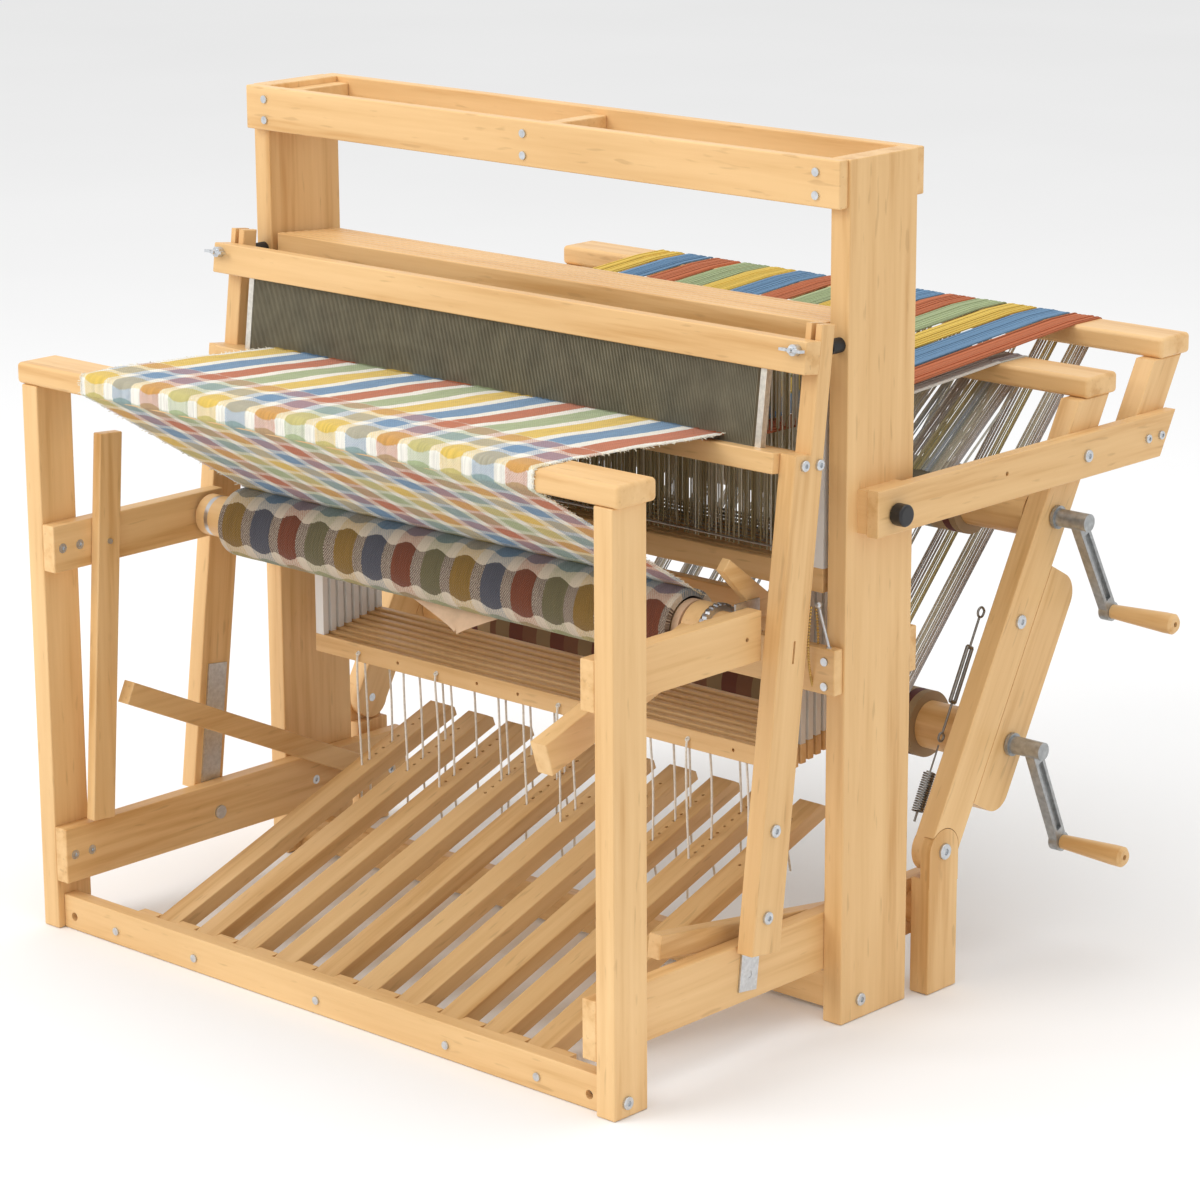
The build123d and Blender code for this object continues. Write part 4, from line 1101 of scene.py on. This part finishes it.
class LOOM_OT_brake(bpy.types.Operator):
    """Adds the warp brake's hooks, turnbuckle, spring and cable, and the bead chain"""

    bl_idname = "loom.brake"
    bl_label = "Brake wires"

    def execute(self, context):
        steel = zinc_steel("brake_steel", (0.30, 0.29, 0.27), 0.35)
        x = 0.418
        anchor = Vector((x, 0.609, 0.396))
        lower = Vector((x, 0.5035, 0.196))
        along = lower - anchor
        points = [anchor + along * share for share in (0.0, 0.16, 0.44, 0.60, 0.80, 1.0)]
        lines = [[points[0], points[1]], [points[2], points[3]], [points[5], points[5] + along * 0.05]]
        lines.append(self.ring(points[0] - along * 0.02, 0.006))
        lines.append(self.ring(points[3] + along * 0.02, 0.005))
        piece = tube("brake_wires", [self.dense(line) for line in lines], 0.0014)
        dress(piece, "brake_wires", steel, "rear_frame")
        side = Vector((0.0, along.z, -along.y)).normalized() * 0.0045
        rails = [[points[1] + side, points[2] + side], [points[1] - side, points[2] - side]]
        rails.append([points[1] + side, points[1] - side])
        rails.append([points[2] + side, points[2] - side])
        buckle = tube("turnbuckle", [self.dense(line) for line in rails], 0.0022)
        dress(buckle, "turnbuckle", steel, "rear_frame")
        coil = tube("brake_spring", [self.coil(points[4], points[5], 0.0065, 17)], 0.0011)
        dress(coil, "brake_spring", steel, "rear_frame")
        lower_cable = [points[4] - along * 0.14, points[4] - along * 0.05, points[4]]
        cable = tube("brake_cable", [lower_cable], 0.0010)
        dress(cable, "brake_cable", steel, "rear_frame")
        self.bead_chain()
        return {"FINISHED"}

    @staticmethod
    def dense(line):
        """Two more points on a straight line, so that the wire stays straight."""
        if len(line) > 2:
            return line
        return [line[0].lerp(line[1], index / 3) for index in range(4)]

    @staticmethod
    def ring(centre, radius):
        """A closed ring in the loom's side plane."""
        angles = [step * math.pi / 4 for step in range(9)]
        return [centre + radius * Vector((0.0, math.cos(angle), math.sin(angle))) for angle in angles]

    @staticmethod
    def coil(start, end, radius, turns):
        """A helix between two points in the loom's side plane."""
        along = end - start
        side = Vector((0.0, along.z, -along.y)).normalized()
        across = Vector((1.0, 0.0, 0.0))
        points = []
        steps = turns * 8
        for index in range(steps + 1):
            angle = 2 * math.pi * index / 8
            reach = side * (radius * math.cos(angle)) + across * (radius * math.sin(angle))
            points.append(start + along * (index / steps) + reach)
        return points

    @staticmethod
    def bead_chain():
        """A hanging loop of small brass beads beside the right sword."""
        brass = zinc_steel("brass_beads", (0.62, 0.42, 0.14), 0.3)
        top, count, depth = Vector((0.4120, 0.3330, 0.462)), 58, 0.086
        deselect()
        bpy.ops.mesh.primitive_ico_sphere_add(subdivisions=2, radius=0.0016, location=top)
        bead = bpy.context.object
        apply_place(bead)
        parts = [bead]
        for index in range(1, count):
            share = index / (count - 1)
            drop = depth * (1.0 - abs(2.0 * share - 1.0) ** 1.15)
            move = Vector((0.0, 0.006 * math.sin(math.pi * share * 2) - 0.008 * share, -drop))
            copy = bead.copy()
            copy.data = bead.data.copy()
            copy.data.transform(Matrix.Translation(move))
            bpy.context.scene.collection.objects.link(copy)
            parts.append(copy)
        deselect()
        for part in parts:
            part.select_set(True)
        bpy.context.view_layer.objects.active = bead
        bpy.ops.object.join()
        bpy.ops.object.shade_smooth()
        dress(bead, "bead_chain", brass, "frame")


class LOOM_OT_stage(bpy.types.Operator):
    """Sets the pale floor, soft lights and camera"""

    bl_idname = "loom.stage"
    bl_label = "Stage"

    def execute(self, context):
        self.floor()
        world = bpy.data.worlds.new("studio_world")
        context.scene.world = world
        world.use_nodes = True
        background = world.node_tree.nodes["Background"]
        background.inputs["Color"].default_value = (1.0, 1.0, 1.0, 1.0)
        background.inputs["Strength"].default_value = 0.85
        self.lamp("key", (-1.8, -3.2, 3.2), 2.6, 84.0)
        self.lamp("top", (0.4, 0.6, 4.2), 3.5, 48.0)
        self.lamp("fill", (3.6, -1.2, 1.8), 3.0, 5.0)
        self.camera(context.scene)
        context.scene.view_settings.view_transform = "Standard"
        return {"FINISHED"}

    @staticmethod
    def floor():
        """A wide pale floor just under the loom's feet."""
        deselect()
        bpy.ops.mesh.primitive_plane_add(size=60.0, location=(0.0, 0.0, cad_bounds[0][2] - 0.0005))
        floor = bpy.context.object
        floor.name = "studio_floor"
        finish = Finish("studio_white")
        finish.give(finish.shader.inputs["Base Color"], speckled(finish, (0.93, 0.93, 0.93), 0.01, 1.0))
        finish.shader.inputs["Roughness"].default_value = 0.9
        finish.shader.inputs["Specular IOR Level"].default_value = 0.0
        floor.data.materials.append(finish.material)

    @staticmethod
    def camera(scene):
        """The camera, at the place and turn of the view's settings."""
        view = scene.loom_view
        camera = bpy.data.objects.new("camera", bpy.data.cameras.new("camera"))
        scene.collection.objects.link(camera)
        camera.data.lens = view.lens
        camera.data.sensor_width = 36.0
        camera.data.clip_end = 100.0
        turn = Matrix.Rotation(math.radians(view.turn), 4, "Z")
        tilt = Matrix.Rotation(math.radians(90.0 - view.tilt), 4, "X")
        roll = Matrix.Rotation(math.radians(view.roll), 4, "Z")
        camera.matrix_world = Matrix.Translation(view.place) @ turn @ tilt @ roll
        scene.camera = camera

    @staticmethod
    def lamp(name, place, size, power):
        """A square soft light that faces the loom's middle."""
        data = bpy.data.lights.new(name, "AREA")
        data.size = size
        data.energy = power
        lamp = bpy.data.objects.new(name, data)
        bpy.context.scene.collection.objects.link(lamp)
        lamp.location = place
        aim = Vector((0.0, 0.4, 0.4)) - Vector(place)
        lamp.rotation_euler = aim.to_track_quat("-Z", "Y").to_euler()


OPERATORS = (LOOM_OT_stage, LOOM_OT_maple, LOOM_OT_shafts, LOOM_OT_metal, LOOM_OT_cloth_roll, LOOM_OT_cloth,
             LOOM_OT_warp, LOOM_OT_heddles, LOOM_OT_reed, LOOM_OT_tie_cords, LOOM_OT_brake)


class LOOM_PT_panel(bpy.types.Panel):
    """Lists the loom's pieces in the order they are made"""

    bl_label = "Floor Loom"
    bl_idname = "LOOM_PT_panel"
    bl_space_type = "VIEW_3D"
    bl_region_type = "UI"
    bl_category = "Loom"

    def draw(self, context):
        for operator in OPERATORS:
            self.layout.operator(operator.bl_idname)


SETTINGS = {"loom_cloth": LoomCloth, "loom_wood": LoomWood, "loom_view": LoomView}


def register():
    """Adds the settings, the operators and the panel."""
    for group in SETTINGS.values():
        bpy.utils.register_class(group)
    for name, group in SETTINGS.items():
        setattr(bpy.types.Scene, name, bpy.props.PointerProperty(type=group))
    for entry in (*OPERATORS, LOOM_PT_panel):
        bpy.utils.register_class(entry)


def unregister():
    """Takes them away again."""
    for entry in reversed((*OPERATORS, LOOM_PT_panel)):
        bpy.utils.unregister_class(entry)
    for name, group in SETTINGS.items():
        delattr(bpy.types.Scene, name)
        bpy.utils.unregister_class(group)


def main():
    """Makes every piece in order."""
    register()
    for operator in OPERATORS:
        group, name = operator.bl_idname.split(".")
        getattr(getattr(bpy.ops, group), name)()


if __name__ == "__main__":
    main()
